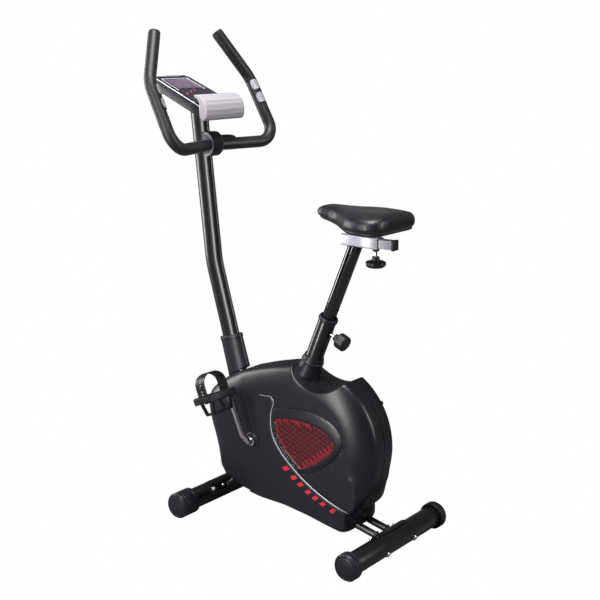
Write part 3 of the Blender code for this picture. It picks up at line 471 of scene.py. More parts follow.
def saddle_plate(axle, first, last, half_width):
    """A curved plate that hugs a stabiliser tube, its corners rounded."""
    inner, thick = STABILISER_R + 0.0004, 0.0038
    steps, corner = 18, 0.010
    rings = []
    span = radians(last - first) * inner
    rows = [(-half_width + corner * (1 - cos(pi / 2 * k / 5)), corner * (1 - sin(pi / 2 * k / 5)))
            for k in range(6)]
    rows += [(-y, pull) for y, pull in rows[::-1]]
    for y, pull in rows:
        trim_angle = pull / span * (last - first)
        points = []
        for radius, ends in ((inner, (first, last)), (inner + thick, (last, first))):
            a, b = ends
            shift = trim_angle if a < b else -trim_angle
            bend = arc(axle.x, axle.z, radius, a + shift, b - shift, steps)
            points += [Vector((p.x, y, p.y)) for p in bend]
        rings.append(points)
    return loft(rings)


def weld_bead(centre, axis, radius, count=34):
    """A rippled ring of weld where a rail meets its saddle plate."""
    side, up = across(axis)
    path = circle(centre, side, up, radius, count)
    return sweep(path, lambda k: oval(0.0017 + 0.0004 * (k % 2), 0.0019, 10), closed=True)


def base_frame():
    """Twin rails, the curved plates at their ends and the plate under the crank shell."""
    rail_r = 0.0100
    shapes = [saddle_plate(REAR_AXLE, 85, 190, 0.065), saddle_plate(FRONT_AXLE, -10, 95, 0.100)]
    for side in (-1, 1):
        y = side * 0.026
        corners = [place(-0.2760, y, 0.0505), place(-0.235, y, 0.088), place(0.100, y, 0.088),
                   place(0.190, y, 0.0625), place(0.2735, y, 0.046)]
        path = fillet(corners, [0, 0.02, 0.05, 0.05, 0], 8)
        shapes.append(sweep(path, oval(rail_r, rail_r, 40)))
        for end, before, gap in ((path[-1], path[-2], 0.006), (path[0], path[1], 0.008)):
            back = (before - end).normalized()
            shapes.append(weld_bead(end + back * gap, back, rail_r + 0.0006))
    shapes.append(box(place(-0.150, 0, 0.0915), (0.110, 0.070, 0.012), 0.002))
    piece("base_frame_weldment", merge(*shapes), POWDER_BLACK, "root", ["base_frame"])


def hex_prism(start, axis, across_flats, height, chamfer=0.0006):
    corner = across_flats / 2 / cos(pi / 6)

    def facets(turn, _):
        return cos(pi / 6) / cos((turn + pi / 6) % (pi / 3) - pi / 6)
    profile = [(0, 0), (0, corner), (height - chamfer, corner), (height, corner - chamfer), (height, 0)]
    return lathe(profile, start, axis, 48, swell=facets)


def bolt_heads():
    """Cap nuts on the front plate, carriage bolts through the rear tube with their own nuts."""
    for end, axle, degrees in (("front", FRONT_AXLE, 35), ("rear", REAR_AXLE, -20)):
        out = Vector((cos(radians(degrees)), 0, sin(radians(degrees))))
        for _, hand in SIDES:
            node = f"{end}_{hand}_bolt"
            y = middle(node).y
            lift = STABILISER_R + (0.0046 if end == "front" else 0.0004)
            seat = Vector((axle.x, y, axle.z)) + out * lift
            if end == "front":
                shapes = [cap_nut(seat, out)]
            else:
                head = [(0, 0), (0, 0.0088), (0.0012, 0.0088), (0.0036, 0.0072), (0.0052, 0.0040),
                        (0.0056, 0)]
                shapes = [soft_lathe(head, 0.001, seat, out, 32)]
            piece(f"{node}_head", merge(*shapes), ZINC, "root", [node])


def cap_nut(seat, out, scale=1.0):
    washer = lathe([(0, 0), (0, 0.0088 * scale), (0.0012, 0.0088 * scale), (0.0012, 0)], seat, out, 32)
    nut = hex_prism(seat + out * 0.0012, out, 0.0125 * scale, 0.0040 * scale)
    start = seat + out * (0.0012 + 0.0040 * scale)
    dome = [(-0.001, 0.0054 * scale)]
    dome += [(0.0050 * scale * sin(pi / 2 * k / 6), 0.0054 * scale * cos(pi / 2 * k / 6)) for k in range(7)]
    return merge(washer, nut, lathe([(-0.001, 0), *dome], start, out, 32))


def loose_fasteners():
    """The nuts on the front of the rear plate, and the small screws beside the front nuts."""
    for side, hand in SIDES:
        back = Vector((cos(radians(160)), 0, sin(radians(160))))
        seat = Vector((REAR_AXLE.x, side * 0.056, REAR_AXLE.z)) + back * (STABILISER_R + 0.0042)
        piece(f"rear_{hand}_cap_nut", cap_nut(seat, back, 0.8), ZINC, "root")
        out = Vector((cos(radians(35)), 0, sin(radians(35))))
        seat = Vector((FRONT_AXLE.x, side * 0.046, FRONT_AXLE.z)) + out * (STABILISER_R + 0.0042)
        dome = [(0, 0), (0, 0.0052), (0.0010, 0.0052), (0.0034, 0.0036), (0.0040, 0)]
        piece(f"front_{hand}_small_screw", soft_lathe(dome, 0.0008, seat, out, 28), ZINC, "root")


# ---- Housing ------------------------------------------------------------------------------
FACE_Y = extent("left_housing").y                  # how far the side face stands from the seam
SHOULDER_Y = 0.035                                 # the flat band round the seam ends here
SCOOP = place(0.085, 0, 0.548)                     # axis of the dish round the seat tube
SCOOP_R = 0.118
SCOOP_EDGE = 0.0045


def body_outline():
    """Side view of the clamshell without its dish, anticlockwise, as (x, z) from the origin."""
    front = flat((0.000, 0.486), (-0.064, 0.472), (-0.131, 0.454), (-0.200, 0.431), (-0.254, 0.403),
                 (-0.292, 0.378), (-0.323, 0.349), (-0.334, 0.305), (-0.322, 0.253), (-0.300, 0.195),
                 (-0.272, 0.132), (-0.248, 0.099), (-0.173, 0.075))
    radii = [0, 0.2, 0.2, 0.1, 0.06, 0.05, 0.03, 0.06, 0.2, 0.2, 0.05, 0.03, 0.05]
    belly = flat((-0.111, 0.067), (-0.021, 0.067), (0.067, 0.058), (0.124, 0.048), (0.179, 0.040),
                 (0.196, 0.045), (0.203, 0.062), (0.203, 0.100), (0.225, 0.111), (0.248, 0.158),
                 (0.262, 0.195))
    radii += [0.2, 0.2, 0.2, 0.2, 0.02, 0.010, 0.008, 0.010, 0.02, 0.05, 0.05]
    back = arc(0.062, 0.280, 0.212, -12, 90, 48)
    loop = fillet(front + belly, radii, 4, closed=False) + back
    return [Vector((p.x + MID_X, p.y)) for p in loop]


def resample(loop, step):
    """Points a fixed step apart round a closed loop."""
    points = np.array([tuple(p) for p in loop] + [tuple(loop[0])])
    spans = np.linalg.norm(np.diff(points, axis=0), axis=1)
    length = np.concatenate([[0], np.cumsum(spans)])
    count = int(round(length[-1] / step))
    wanted = np.linspace(0, length[-1], count, endpoint=False)
    return np.stack([np.interp(wanted, length, points[:, k]) for k in (0, 1)], axis=1)


def nearest(points, loop, closed=True):
    """Distance from each point to a polyline, and how far round it the nearest place is."""
    start = loop if closed else loop[:-1]
    end = np.roll(loop, -1, axis=0) if closed else loop[1:]
    best = np.full(len(points), 1e9)
    where = np.zeros(len(points))
    for k, (a, b) in enumerate(zip(start, end)):
        span = b - a
        t = np.clip(((points - a) @ span) / max(span @ span, 1e-12), 0, 1)
        gap = np.linalg.norm(points - a - t[:, None] * span, axis=1)
        closer = gap < best
        best[closer] = gap[closer]
        where[closer] = k + t[closer]
    return best, where


def inside(points, loop):
    """Which points lie inside a closed loop."""
    a, b = loop, np.roll(loop, -1, axis=0)
    hits = np.zeros(len(points), bool)
    for (ax, az), (bx, bz) in zip(a, b):
        if az == bz:
            continue
        crosses = (az > points[:, 1]) != (bz > points[:, 1])
        at = ax + (points[:, 1] - az) * (bx - ax) / (bz - az)
        hits ^= crosses & (points[:, 0] < at)
    return hits


LEAF_EDGE = flat((-0.058, 0.348), (-0.030, 0.360), (0.012, 0.367), (0.056, 0.3705), (0.100, 0.368),
                 (0.142, 0.3565), (0.168, 0.341), (0.184, 0.322), (0.187, 0.300), (0.177, 0.276),
                 (0.160, 0.254), (0.135, 0.228), (0.100, 0.203), (0.066, 0.188), (0.043, 0.186),
                 (0.013, 0.205), (-0.014, 0.230), (-0.041, 0.259), (-0.056, 0.287), (-0.0605, 0.320))
LEAF_FLOOR = flat((-0.048, 0.325), (-0.020, 0.334), (0.008, 0.339), (0.052, 0.3405), (0.096, 0.336),
                  (0.130, 0.325), (0.152, 0.311), (0.160, 0.291), (0.149, 0.268), (0.122, 0.244),
                  (0.096, 0.224), (0.068, 0.208), (0.048, 0.198), (0.026, 0.2095), (0.006, 0.226),
                  (-0.020, 0.247), (-0.038, 0.274), (-0.045, 0.304))
TRIM_LINE = flat((-0.105, 0.3835), (-0.084, 0.3850), (-0.0680, 0.3866), (-0.0580, 0.3800),
                 (-0.0560, 0.3690), (-0.0600, 0.3560), (-0.0645, 0.3400), (-0.0665, 0.3200),
                 (-0.0645, 0.2930), (-0.0580, 0.2700), (-0.0440, 0.2480), (-0.0230, 0.2235),
                 (0.0050, 0.2000), (0.0320, 0.1805), (0.0590, 0.1635), (0.0850, 0.1495),
                 (0.1150, 0.1360), (0.1460, 0.1240), (0.1800, 0.1145), (0.2100, 0.1080))
LEAF_RISE, BED_DROP = 0.0040, 0.0030               # the leaf stands proud, and its bed is sunk in it


def shifted(points):
    return [Vector((p.x + MID_X, p.y)) for p in points]


OUTLINE = resample(body_outline(), 0.003)
LEAF_RIM = resample(smooth_loop(shifted(LEAF_EDGE)), 0.003)
LEAF_BED = resample(smooth_loop(shifted(LEAF_FLOOR)), 0.003)
TRIM_PATH = np.array([tuple(p) for p in smooth_path(shifted(TRIM_LINE), 6)])


def shoulder_width():
    """How wide the round-over is at each point of the outline: broad on the dome, tight below."""
    low, high = 0.120, 0.230
    rise = np.clip((OUTLINE[:, 1] - low) / (high - low), 0, 1)
    rise = rise * rise * (3 - 2 * rise)
    front = OUTLINE[:, 0] < MID_X - 0.15
    floor = np.where(front, 0.016, 0.0085)
    return floor + (0.072 - floor) * rise


SHOULDER = shoulder_width()


def face_height(points, with_leaf=True):
    """How far the side face stands from the seam at (x, z) points."""
    gap, where = nearest(points, OUTLINE)
    width = np.interp(where, np.arange(len(OUTLINE) + 1), np.append(SHOULDER, SHOULDER[0]))
    t = np.clip(gap / width, 0, 1)
    # an ellipse at the rim that eases out, so that no crease shows where the face goes flat
    lift = np.sqrt(1 - (1 - t) ** 2) * (1 - 0.12 * (1 - t))
    height = SHOULDER_Y + (FACE_Y - 0.0002 - SHOULDER_Y) * lift
    behind = np.clip((points[:, 0] - MID_X - 0.02) / 0.25, 0, 1)
    height -= 0.004 * behind ** 2
    dish = SCOOP_R - np.hypot(points[:, 0] - SCOOP.x, points[:, 1] - SCOOP.z)
    near = np.clip(1 + dish / SCOOP_EDGE, 0, 1)
    height -= SCOOP_EDGE * (1 - np.sqrt(np.maximum(1 - near ** 2, 0)))
    if with_leaf:
        rim_gap, _ = nearest(points, LEAF_RIM)
        bed_gap, _ = nearest(points, LEAF_BED)
        in_bed = inside(points, LEAF_BED)
        in_leaf = inside(points, LEAF_RIM)
        t = np.where(in_bed, 1, rim_gap / np.maximum(rim_gap + bed_gap, 1e-9))
        swelling = LEAF_RISE * np.sin(pi / 2 * np.clip(t, 0, 1)) - 0.0015 * np.exp(-(rim_gap / 0.0022) ** 2)
        sunk = np.where(in_bed, BED_DROP * np.clip(bed_gap / 0.002, 0, 1), 0)
        height += np.where(in_leaf, swelling - sunk, 0)
    panel, along = nearest(points, TRIM_PATH, closed=False)
    fade = np.clip(along / 6, 0, 1) * np.clip((len(TRIM_PATH) - 1 - along) / 6, 0, 1)
    height -= 0.0016 * fade * np.exp(-(panel / 0.0030) ** 2)
    return height


def housing_rim():
    """The side face's outline with the dish round the seat tube cut into it."""
    dish = np.hypot(OUTLINE[:, 0] - SCOOP.x, OUTLINE[:, 1] - SCOOP.z) < SCOOP_R
    first = int(np.argmax(dish & ~np.roll(dish, 1)))
    kept = np.roll(OUTLINE, -first, axis=0)
    kept = kept[~np.roll(dish, -first)]
    before, after = kept[-1], kept[0]
    a0 = atan2(before[1] - SCOOP.z, before[0] - SCOOP.x)
    a1 = atan2(after[1] - SCOOP.z, after[0] - SCOOP.x)
    steps = 70
    turns = np.linspace(a0, a1, steps + 1)
    notch = np.stack([SCOOP.x + SCOOP_R * np.cos(turns), SCOOP.z + SCOOP_R * np.sin(turns)], axis=1)
    rim = np.concatenate([kept, notch])
    return resample([Vector(p) for p in rim], 0.003)


def offset_rings(loop, distances, spacing):
    """Points on lines parallel to a loop, inside it, where no other part of it is nearer."""
    found = []
    after, before = np.roll(loop, -1, axis=0), np.roll(loop, 1, axis=0)
    along = after - before
    along /= np.linalg.norm(along, axis=1)[:, None]
    inward = np.stack([-along[:, 1], along[:, 0]], axis=1)
    if not inside(loop[:1] + inward[:1] * 0.0005, loop)[0]:
        inward = -inward
    for distance in distances:
        points = loop + inward * distance
        gap, _ = nearest(points, loop)
        points = points[(gap > distance * 0.985) & inside(points, loop)]
        chosen = [points[0]]
        for point in points[1:]:
            if np.linalg.norm(point - chosen[-1]) > spacing * 0.8:
                chosen.append(point)
        found.append(np.array(chosen))
    return found


def hex_grid(low, high, step):
    rows = []
    z, odd = low[1], 0
    while z < high[1]:
        xs = np.arange(low[0] + odd * step / 2, high[0], step)
        rows.append(np.stack([xs, np.full(len(xs), z)], axis=1))
        z += step * 0.866
        odd = 1 - odd
    return np.concatenate(rows)


def thin(points, kept, gap):
    """Drop points that lie closer than gap to a kept one, on a coarse grid of cells."""
    cells = {}
    for p in kept:
        cells.setdefault((int(p[0] // gap), int(p[1] // gap)), []).append(p)
    good = []
    for p in points:
        i, j = int(p[0] // gap), int(p[1] // gap)
        near = (q for a in (-1, 0, 1) for b in (-1, 0, 1) for q in cells.get((i + a, j + b), ()))
        if all((p[0] - q[0]) ** 2 + (p[1] - q[1]) ** 2 > gap * gap for q in near):
            good.append(p)
    return np.array(good).reshape(-1, 2)


def side_net():
    """Triangulated side face: (points, triangles)."""
    rim = housing_rim()
    rings = offset_rings(rim, [0.0006, 0.0018, 0.0036, 0.0060, 0.0090, 0.0125, 0.0165], 0.0032)
    hole = np.array([(CRANK.x + 0.0150 * cos(t), CRANK.z + 0.0150 * sin(t))
                     for t in np.linspace(0, 2 * pi, 32, endpoint=False)])
    inner = offset_rings(LEAF_RIM, [0.0008], 0.003)
    lines = [rim, *rings, hole, LEAF_RIM, LEAF_BED, *inner]
    fixed = np.concatenate(lines)
    side_lines = []
    along = np.gradient(TRIM_PATH, axis=0)
    along /= np.linalg.norm(along, axis=1)[:, None]
    normal = np.stack([-along[:, 1], along[:, 0]], axis=1)
    for gap in (-0.0036, -0.0018, 0, 0.0018, 0.0036):
        side_lines.append(TRIM_PATH + normal * gap)
    extra = np.concatenate(side_lines)
    extra = thin(extra, fixed, 0.0011)
    fixed = np.concatenate([fixed, extra])
    grid = np.concatenate([thin(hex_grid(LEAF_RIM.min(0), LEAF_RIM.max(0), 0.0033), fixed, 0.0020),
                           hex_grid(rim.min(0), rim.max(0), 0.0052)])
    wide = thin(grid, fixed, 0.0026)
    wide = wide[inside(wide, rim)]
    gap, _ = nearest(wide, rim)
    far_from_hole = np.hypot(wide[:, 0] - CRANK.x, wide[:, 1] - CRANK.z) > 0.0170
    wide = wide[(gap > 0.0190) & far_from_hole]
    points = np.concatenate([fixed, wide])
    edges, start = [], 0
    for line, constrained in ((rim, True), *((r, False) for r in rings), (hole, True),
                              (LEAF_RIM, True), (LEAF_BED, True)):
        count = len(line)
        if constrained:
            edges += [(start + k, start + (k + 1) % count) for k in range(count)]
        start += count
    verts, _, faces, *_ = delaunay_2d_cdt([Vector(p) for p in points], edges, [], 0, 1e-7)
    verts = np.array([tuple(v) for v in verts])
    faces = np.array([tuple(f) for f in faces])
    centres = verts[faces].mean(axis=1)
    keep = inside(centres, rim) & (np.hypot(centres[:, 0] - CRANK.x, centres[:, 1] - CRANK.z) > 0.0149)
    return verts, faces[keep]


def shell_half(name, side, verts, faces, heights):
    """One half of the clamshell: its side face, the band round it to the seam, and a wall."""
    shape = bmesh.new()
    points = [shape.verts.new((x, side * h, z)) for (x, z), h in zip(verts, heights)]
    for corners in faces:
        shape.faces.new([points[k] for k in corners])
    edges = [e for e in shape.edges if e.is_boundary]
    at_hole = [e for e in edges if (e.verts[0].co - CRANK - Y * e.verts[0].co.y).length < 0.02]
    outer = [e for e in edges if e not in set(at_hole)]
    middle_point = place(0.0, 0, 0.27)

    def pull(group, level, shrink=1.0):
        made = bmesh.ops.extrude_edge_only(shape, edges=group)["geom"]
        for vert in (g for g in made if isinstance(g, bmesh.types.BMVert)):
            vert.co.y = side * level if level >= 0 else vert.co.y + side * level
            vert.co.x = middle_point.x + (vert.co.x - middle_point.x) * shrink
            vert.co.z = middle_point.z + (vert.co.z - middle_point.z) * shrink
        return [g for g in made if isinstance(g, bmesh.types.BMEdge)]
    band = pull(outer, 0.018)
    band = pull(band, 0.0012)
    pull(band, 0.0004, 0.9955)
    pull(at_hole, -0.0030)
    bmesh.ops.recalc_face_normals(shape, faces=shape.faces)
    facing = sum(f.normal.y * f.calc_area() for f in shape.faces)
    if facing * side < 0:
        bmesh.ops.reverse_faces(shape, faces=shape.faces)
    thing = piece(name, shape, SHELL_BLACK, "root", keep_normals=True, sharp=50)
    wall = thing.modifiers.new("wall", "SOLIDIFY")
    wall.thickness = 0.0022
    wall.offset = -1
    return thing


def housing():
    verts, faces = side_net()
    heights = face_height(verts)
    for side, hand in SIDES:
        half = shell_half(f"{hand}_shell", side, verts, faces, heights)
        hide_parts(f"{hand}_housing")
        trim(side, hand)
        lattice(side, hand)
        stripes(side, hand)
        crank_ring(side, hand)
    housing_screws()


def trim(side, hand):
    """The thin silver line that divides the front panel from the dome."""
    heights = face_height(TRIM_PATH)
    path = [Vector((x, side * (h + 0.0006), z)) for (x, z), h in zip(TRIM_PATH, heights)]
    last = len(path) - 1

    def section(k):
        taper = min(1, 0.28 + k / 60, 0.25 + (last - k) / 16)
        return oval(0.0010 * taper, 0.0015 * taper, 12)
    piece(f"{hand}_silver_trim", sweep(path, section, first_side=Y), TRIM_SILVER, "root")


def lattice(side, hand):
    """Red expanded lattice in the bed of the leaf: slanted slots in a plate, like brickwork."""
    edge = offset_rings(LEAF_BED, [0.0012], 0.0024)[0]
    lean = radians(-52)
    along, beside = Vector((cos(lean), sin(lean))), Vector((-sin(lean), cos(lean)))
    pitch_along, pitch_beside, half_long, half_wide = 0.0245, 0.0080, 0.0112, 0.0034
    centre = Vector(LEAF_BED.mean(axis=0))
    slots = []
    for row in range(-20, 21):
        for column in range(-8, 9):
            middle_point = (centre + beside * pitch_beside * row
                            + along * pitch_along * (column + 0.5 * (row % 2)))
            slot = []
            for turn in range(0, 360, 30):
                a = radians(turn)
                reach = half_long - half_wide if cos(a) > 0 else half_wide - half_long
                slot.append(middle_point + along * (reach + half_wide * cos(a)) + beside * half_wide * sin(a))
            slot = np.array([tuple(p) for p in slot])
            gap, _ = nearest(slot, edge)
            if inside(slot, edge).all() and gap.min() > 0.0012:
                slots.append(slot)
    points = np.concatenate([edge, *slots])
    edges, start = [], 0
    for loop in (edge, *slots):
        edges += [(start + k, start + (k + 1) % len(loop)) for k in range(len(loop))]
        start += len(loop)
    verts, _, faces, *_ = delaunay_2d_cdt([Vector(p) for p in points], edges, [], 0, 1e-7)
    verts = np.array([tuple(v) for v in verts])
    heights = face_height(verts, with_leaf=False) + 0.0022
    centres = verts[np.array([tuple(f) for f in faces])].mean(axis=1)
    keep = inside(centres, edge)
    slot_middles = np.array([s.mean(axis=0) for s in slots])
    for middle_point in slot_middles:
        offset = centres - middle_point
        u, v = offset @ np.array(along), offset @ np.array(beside)
        keep &= ~((np.abs(u) < half_long) & (np.abs(v) < half_wide * 0.98))
    shape = bmesh.new()
    net = [shape.verts.new((x, side * h, z)) for (x, z), h in zip(verts, heights)]
    for corners in np.array([tuple(f) for f in faces])[keep]:
        order = corners if side < 0 else corners[::-1]
        shape.faces.new([net[k] for k in order])
    bmesh.ops.delete(shape, geom=[v for v in shape.verts if not v.link_faces], context="VERTS")
    plate = piece(f"{hand}_red_lattice", shape, RED, "root", keep_normals=True, sharp=30)
    wall = plate.modifiers.new("plate", "SOLIDIFY")
    wall.thickness = 0.0018
    wall.offset = -1
    edge_round = plate.modifiers.new("edges", "BEVEL")
    edge_round.width = 0.0006
    edge_round.segments = 2
    edge_round.limit_method = "ANGLE"
    edge_round.angle_limit = radians(60)


def stripes(side, hand):
    """A plain decoration of slanted red bars beside the trim line."""
    path = TRIM_PATH[70:]
    shape = bmesh.new()
    bars = 7
    for k in range(bars):
        at = int((0.04 + 0.74 * k / (bars - 1)) * (len(path) - 1))
        point, after = Vector(path[at]), Vector(path[min(at + 1, len(path) - 1)])
        along = (after - point).normalized()
        below = Vector((along.y, -along.x))
        if below.y > 0:
            below = -below
        start = point + below * 0.0105
        height, width, slant = 0.0190 - 0.0009 * k, 0.0132, 0.0085
        corners = [start, start + along * width, start + along * (width - slant) + below * height,
                   start - along * slant + below * height]
        corners = fillet(corners, 0.0008, 2, closed=True)
        flat_points = np.array([tuple(p) for p in corners])
        heights = face_height(flat_points)
        top = [shape.verts.new((x, side * (h + 0.00035), z)) for (x, z), h in zip(flat_points, heights)]
        base = [shape.verts.new((x, side * (h - 0.0004), z)) for (x, z), h in zip(flat_points, heights)]
        shape.faces.new(top)
        shape.faces.new(base[::-1])
        for n in range(len(top)):
            m = (n + 1) % len(top)
            shape.faces.new([top[n], base[n], base[m], top[m]])
    piece(f"{hand}_red_stripes", shape, RED_PRINT, "root")


def crank_ring(side, hand):
    node = f"{hand}_crank_cover"
    depth = extent(node).y
    start = CRANK + Y * side * (FACE_Y - 0.0012)
    corners = [(0, 0.0150), (0, 0.0240), (0.0022, 0.0240), (0.0042, 0.0215), (0.0030, 0.0205),
               (0.0030, 0.0180), (depth, 0.0172), (depth, 0.0150)]
    ring = soft_lathe(corners, 0.0006, start, Y * side, 72, hollow=True)
    piece(f"{node}_ring", ring, MATTE_BLACK, "root", [node])


def housing_screws():
    """Cross-head screws in shallow bosses, driven in from the right."""
    for k, (x, z) in enumerate(((-0.300, 0.320), (-0.262, 0.135), (-0.020, 0.090), (0.232, 0.190),
                                (0.222, 0.395), (-0.120, 0.425))):
        point = place(x, 0, z)
        height = float(face_height(np.array([[point.x, point.z]]))[0])
        seat = Vector((point.x, height - 0.0022, point.z))
        boss = soft_lathe([(0, 0.0042), (0, 0.0072), (0.0034, 0.0066), (0.0034, 0.0050), (0.0010, 0.0042)],
                          0.0004, seat, Y, 36, hollow=True, steps=2)
        piece(f"screw_boss_{k}", boss, SHELL_BLACK, "root")
        head = soft_lathe([(0, 0), (0, 0.0040), (0.0012, 0.0040), (0.0026, 0.0022), (0.0028, 0)],
                          0.0004, seat, Y, 32)
        thing = piece(f"housing_screw_{k}", head, ZINC, "root")
        cross_slots(thing, seat + Y * 0.0032, Y, 0.0048, 0.0010, 0.0016)


def cross_slots(thing, centre, axis, length, width, depth):
    """Cut a cross into a screw head."""
    side, up = across(axis)
    turn = Matrix((side, up, axis.normalized())).transposed()
    for k, (a, b) in enumerate(((length, width), (width, length))):
        shape = bmesh.new()
        bmesh.ops.create_cube(shape, size=1)
        bmesh.ops.scale(shape, vec=(a, b, depth * 2), verts=shape.verts)
        bmesh.ops.rotate(shape, matrix=turn, verts=shape.verts)
        bmesh.ops.translate(shape, vec=centre, verts=shape.verts)
        mesh = bpy.data.meshes.new("slot")
        shape.to_mesh(mesh)
        shape.free()
        cutter = bpy.data.objects.new(f"{thing.name}_cut_{k}", mesh)
        bpy.context.scene.collection.objects.link(cutter)
        carve(thing, cutter)


def reshade(thing, sharp=38):
    """Smooth shading again after a cut, with hard edges past an angle."""
    thing.data.shade_smooth()
    thing.data.set_sharp_from_angle(angle=radians(sharp))


def carve(thing, *cutters):
    """Cut the cutters out of a piece, apply the result and remove them."""
    bpy.context.view_layer.update()
    for cutter in cutters:
        step = thing.modifiers.new("cut", "BOOLEAN")
        step.operation = "DIFFERENCE"
        step.object = cutter
    bake(thing)
    for cutter in cutters:
        bpy.data.objects.remove(cutter, do_unlink=True)


def bake(thing):
    """Apply a piece's modifiers, and keep its finish."""
    depsgraph = bpy.context.evaluated_depsgraph_get()
    mesh = bpy.data.meshes.new_from_object(thing.evaluated_get(depsgraph))
    thing.modifiers.clear()
    thing.data = mesh


def seat_boot():
    """Conical boot between the dish and the seat tube, with a rolled lip near its top."""
    base = SEAT_TUBE_TOP - SEAT_AXIS * 0.192
    bore = SEAT_TUBE_R + 0.0004
    corners = [(0.0, bore), (0.0, 0.0420), (0.0030, 0.0420), (0.0048, 0.0405), (0.0560, 0.0306),
               (0.0572, 0.0322), (0.0608, 0.0322), (0.0620, 0.0302), (0.0720, 0.0288), (0.0748, 0.0276),
               (0.0750, bore)]
    boot = soft_lathe(corners, 0.0008, base, SEAT_AXIS, 96, hollow=True, steps=3)
    piece("seat_boot_moulding", boot, MATTE_BLACK, "root", ["seat_tube_boot"])


def post_sleeve():
    """Oval sleeve on the housing's front shoulder, its base cut along the slope."""
    node = "post_boot"
    slope = 0.60
    shoulder = place(-0.254, 0, 0.4055)
    side, up = across(POST_AXIS)
    top = POST_FOOT + POST_AXIS * 0.418
    rings = []
    length = 0.118

    def level(points, height):
        moved = []
        for point in points:
            rise = shoulder.z + slope * (point.x - shoulder.x) - point.z
            moved.append(point + POST_AXIS * (rise / (POST_AXIS.z - slope * POST_AXIS.x) + height))
        return moved
    bottom = POST_FOOT + POST_AXIS * (0.418 - length)
    grow = lambda g: circle_oval(bottom, side, up, 0.0230 + g, 0.0420 + g)
    rings.append(level(circle_oval(bottom, side, up, 0.0163, 0.0313), 0.0002))
    rings.append(level(grow(-0.0012), 0.0002))
    rings.append(level(grow(-0.0003), 0.0009))
    rings.append(level(grow(0.0), 0.0022))
    rings.append(level(grow(-0.0006), 0.0100))
    upper = lambda g, drop: circle_oval(top - POST_AXIS * drop, side, up, 0.0230 + g, 0.0420 + g)
    rings += [upper(-0.0020, 0.0120), upper(-0.0006, 0.0108), upper(-0.0004, 0.0020),
              upper(-0.0011, 0.0006), upper(-0.0026, 0.0)]
    rings.append(circle_oval(top, side, up, 0.0163, 0.0313))
    piece("post_sleeve", loft(rings, closed=True), MATTE_BLACK, "root", [node])


def circle_oval(centre, side, up, half_side, half_up, count=72):
    return [centre + side * s + up * u for s, u in oval(half_side, half_up, count)]


# ---- Frame tubes and seat post ------------------------------------------------------------
SEAT_TUBE_TOP = place(0.078, 0, 0.616)
SEAT_TUBE_R = 0.0250
SEAT_POST_R = 0.0190
POST_LEAN = radians(16.5)
POST_AXIS = Vector((-sin(POST_LEAN), 0, cos(POST_LEAN)))
POST_FOOT = place(-0.283, 0, 0.527) - POST_AXIS * 0.430


def seat_tube():
    foot = SEAT_TUBE_TOP - SEAT_AXIS * 0.445
    parts = [tube(foot, SEAT_TUBE_TOP, SEAT_TUBE_R, 0.0226, 80, 0.001)]
    parts.append(tube(CRANK - Y * 0.034, CRANK + Y * 0.034, 0.028, 0.0175, 64, 0.001))
    beside = POST_FOOT + POST_AXIS * 0.135 + Vector((cos(POST_LEAN), 0, sin(POST_LEAN))) * 0.0353
    parts.append(box(beside, (0.016, 0.024, 0.044), 0.001, -POST_LEAN))
    piece("seat_tube_weldment", merge(*parts), POWDER_BLACK, "root", ["seat_tube"])
    bore = SEAT_POST_R + 0.0003
    collar = [(0, bore), (-0.060, bore), (-0.060, 0.0223), (0.0003, 0.0223), (0.0003, 0.0262),
              (0.0020, 0.0275), (0.0080, 0.0272), (0.0120, 0.0255), (0.0120, bore)]
    bushing = soft_lathe(collar, 0.0008, SEAT_TUBE_TOP, SEAT_AXIS, 80, hollow=True, steps=3)
    piece("bushing_moulding", bushing, MATTE_BLACK, "root", ["seat_tube_bushing"])


def seat_post():
    """Glossy post with a row of adjustment holes along its rear, cut level under the sleeve."""
    pin = pin_direction()
    top = SEAT_TUBE_TOP + SEAT_AXIS * 0.2218
    foot = SEAT_TUBE_TOP - SEAT_AXIS * 0.190
    skin = tube(foot, top + SEAT_AXIS * 0.04, SEAT_POST_R, SEAT_POST_R - 0.002, 80)
    post = piece("seat_post_tube", skin, GLOSS_BLACK, "seat_post", ["seat_post"])
    under = SLEEVE_BOTTOM - 0.0002
    cutters = [as_cutter("mitre", box(Vector((top.x, 0, under + 0.03)), (0.12, 0.06, 0.06)))]
    for k in range(8):
        at = SEAT_TUBE_TOP + SEAT_AXIS * (-0.130 + 0.025 * k)
        cutters.append(as_cutter("post_hole", rod(at, at + pin * 0.030, 0.0052, 24)))
    carve(post, *cutters)
    reshade(post)
    centre = top + SEAT_AXIS * ((under - top.z) / SEAT_AXIS.z)
    rings = []
    for drop, shrink in ((0.0, 0.0010), (0.0006, 0.0003), (0.0022, 0.0003), (0.0026, 0.0012)):
        at = centre - SEAT_AXIS * (drop / SEAT_AXIS.z)
        rings.append([at + Vector((u / SEAT_AXIS.z, s, 0)) for s, u in
                      oval(SEAT_POST_R - shrink, SEAT_POST_R - shrink, 64)])
    piece("seat_post_lid", loft(rings), GLOSS_BLACK, "seat_post")
    bead = []
    for k in range(64):
        turn = 2 * pi * k / 64
        out = 0.0012 if k % 2 else 0.0007
        reach = SEAT_POST_R + out
        bead.append(centre + Vector((reach * cos(turn) / SEAT_AXIS.z, reach * sin(turn), -0.0014)))
    bead = [p for p in bead if abs(p.y) < 0.0140]
    fore, aft = [p for p in bead if p.x < centre.x], [p for p in bead if p.x >= centre.x]
    beads = [sweep(sorted(run, key=lambda p: p.y), oval(0.0014, 0.0012, 12)) for run in (fore, aft)]
    piece("seat_post_weld", merge(*beads), GLOSS_BLACK, "seat_post")


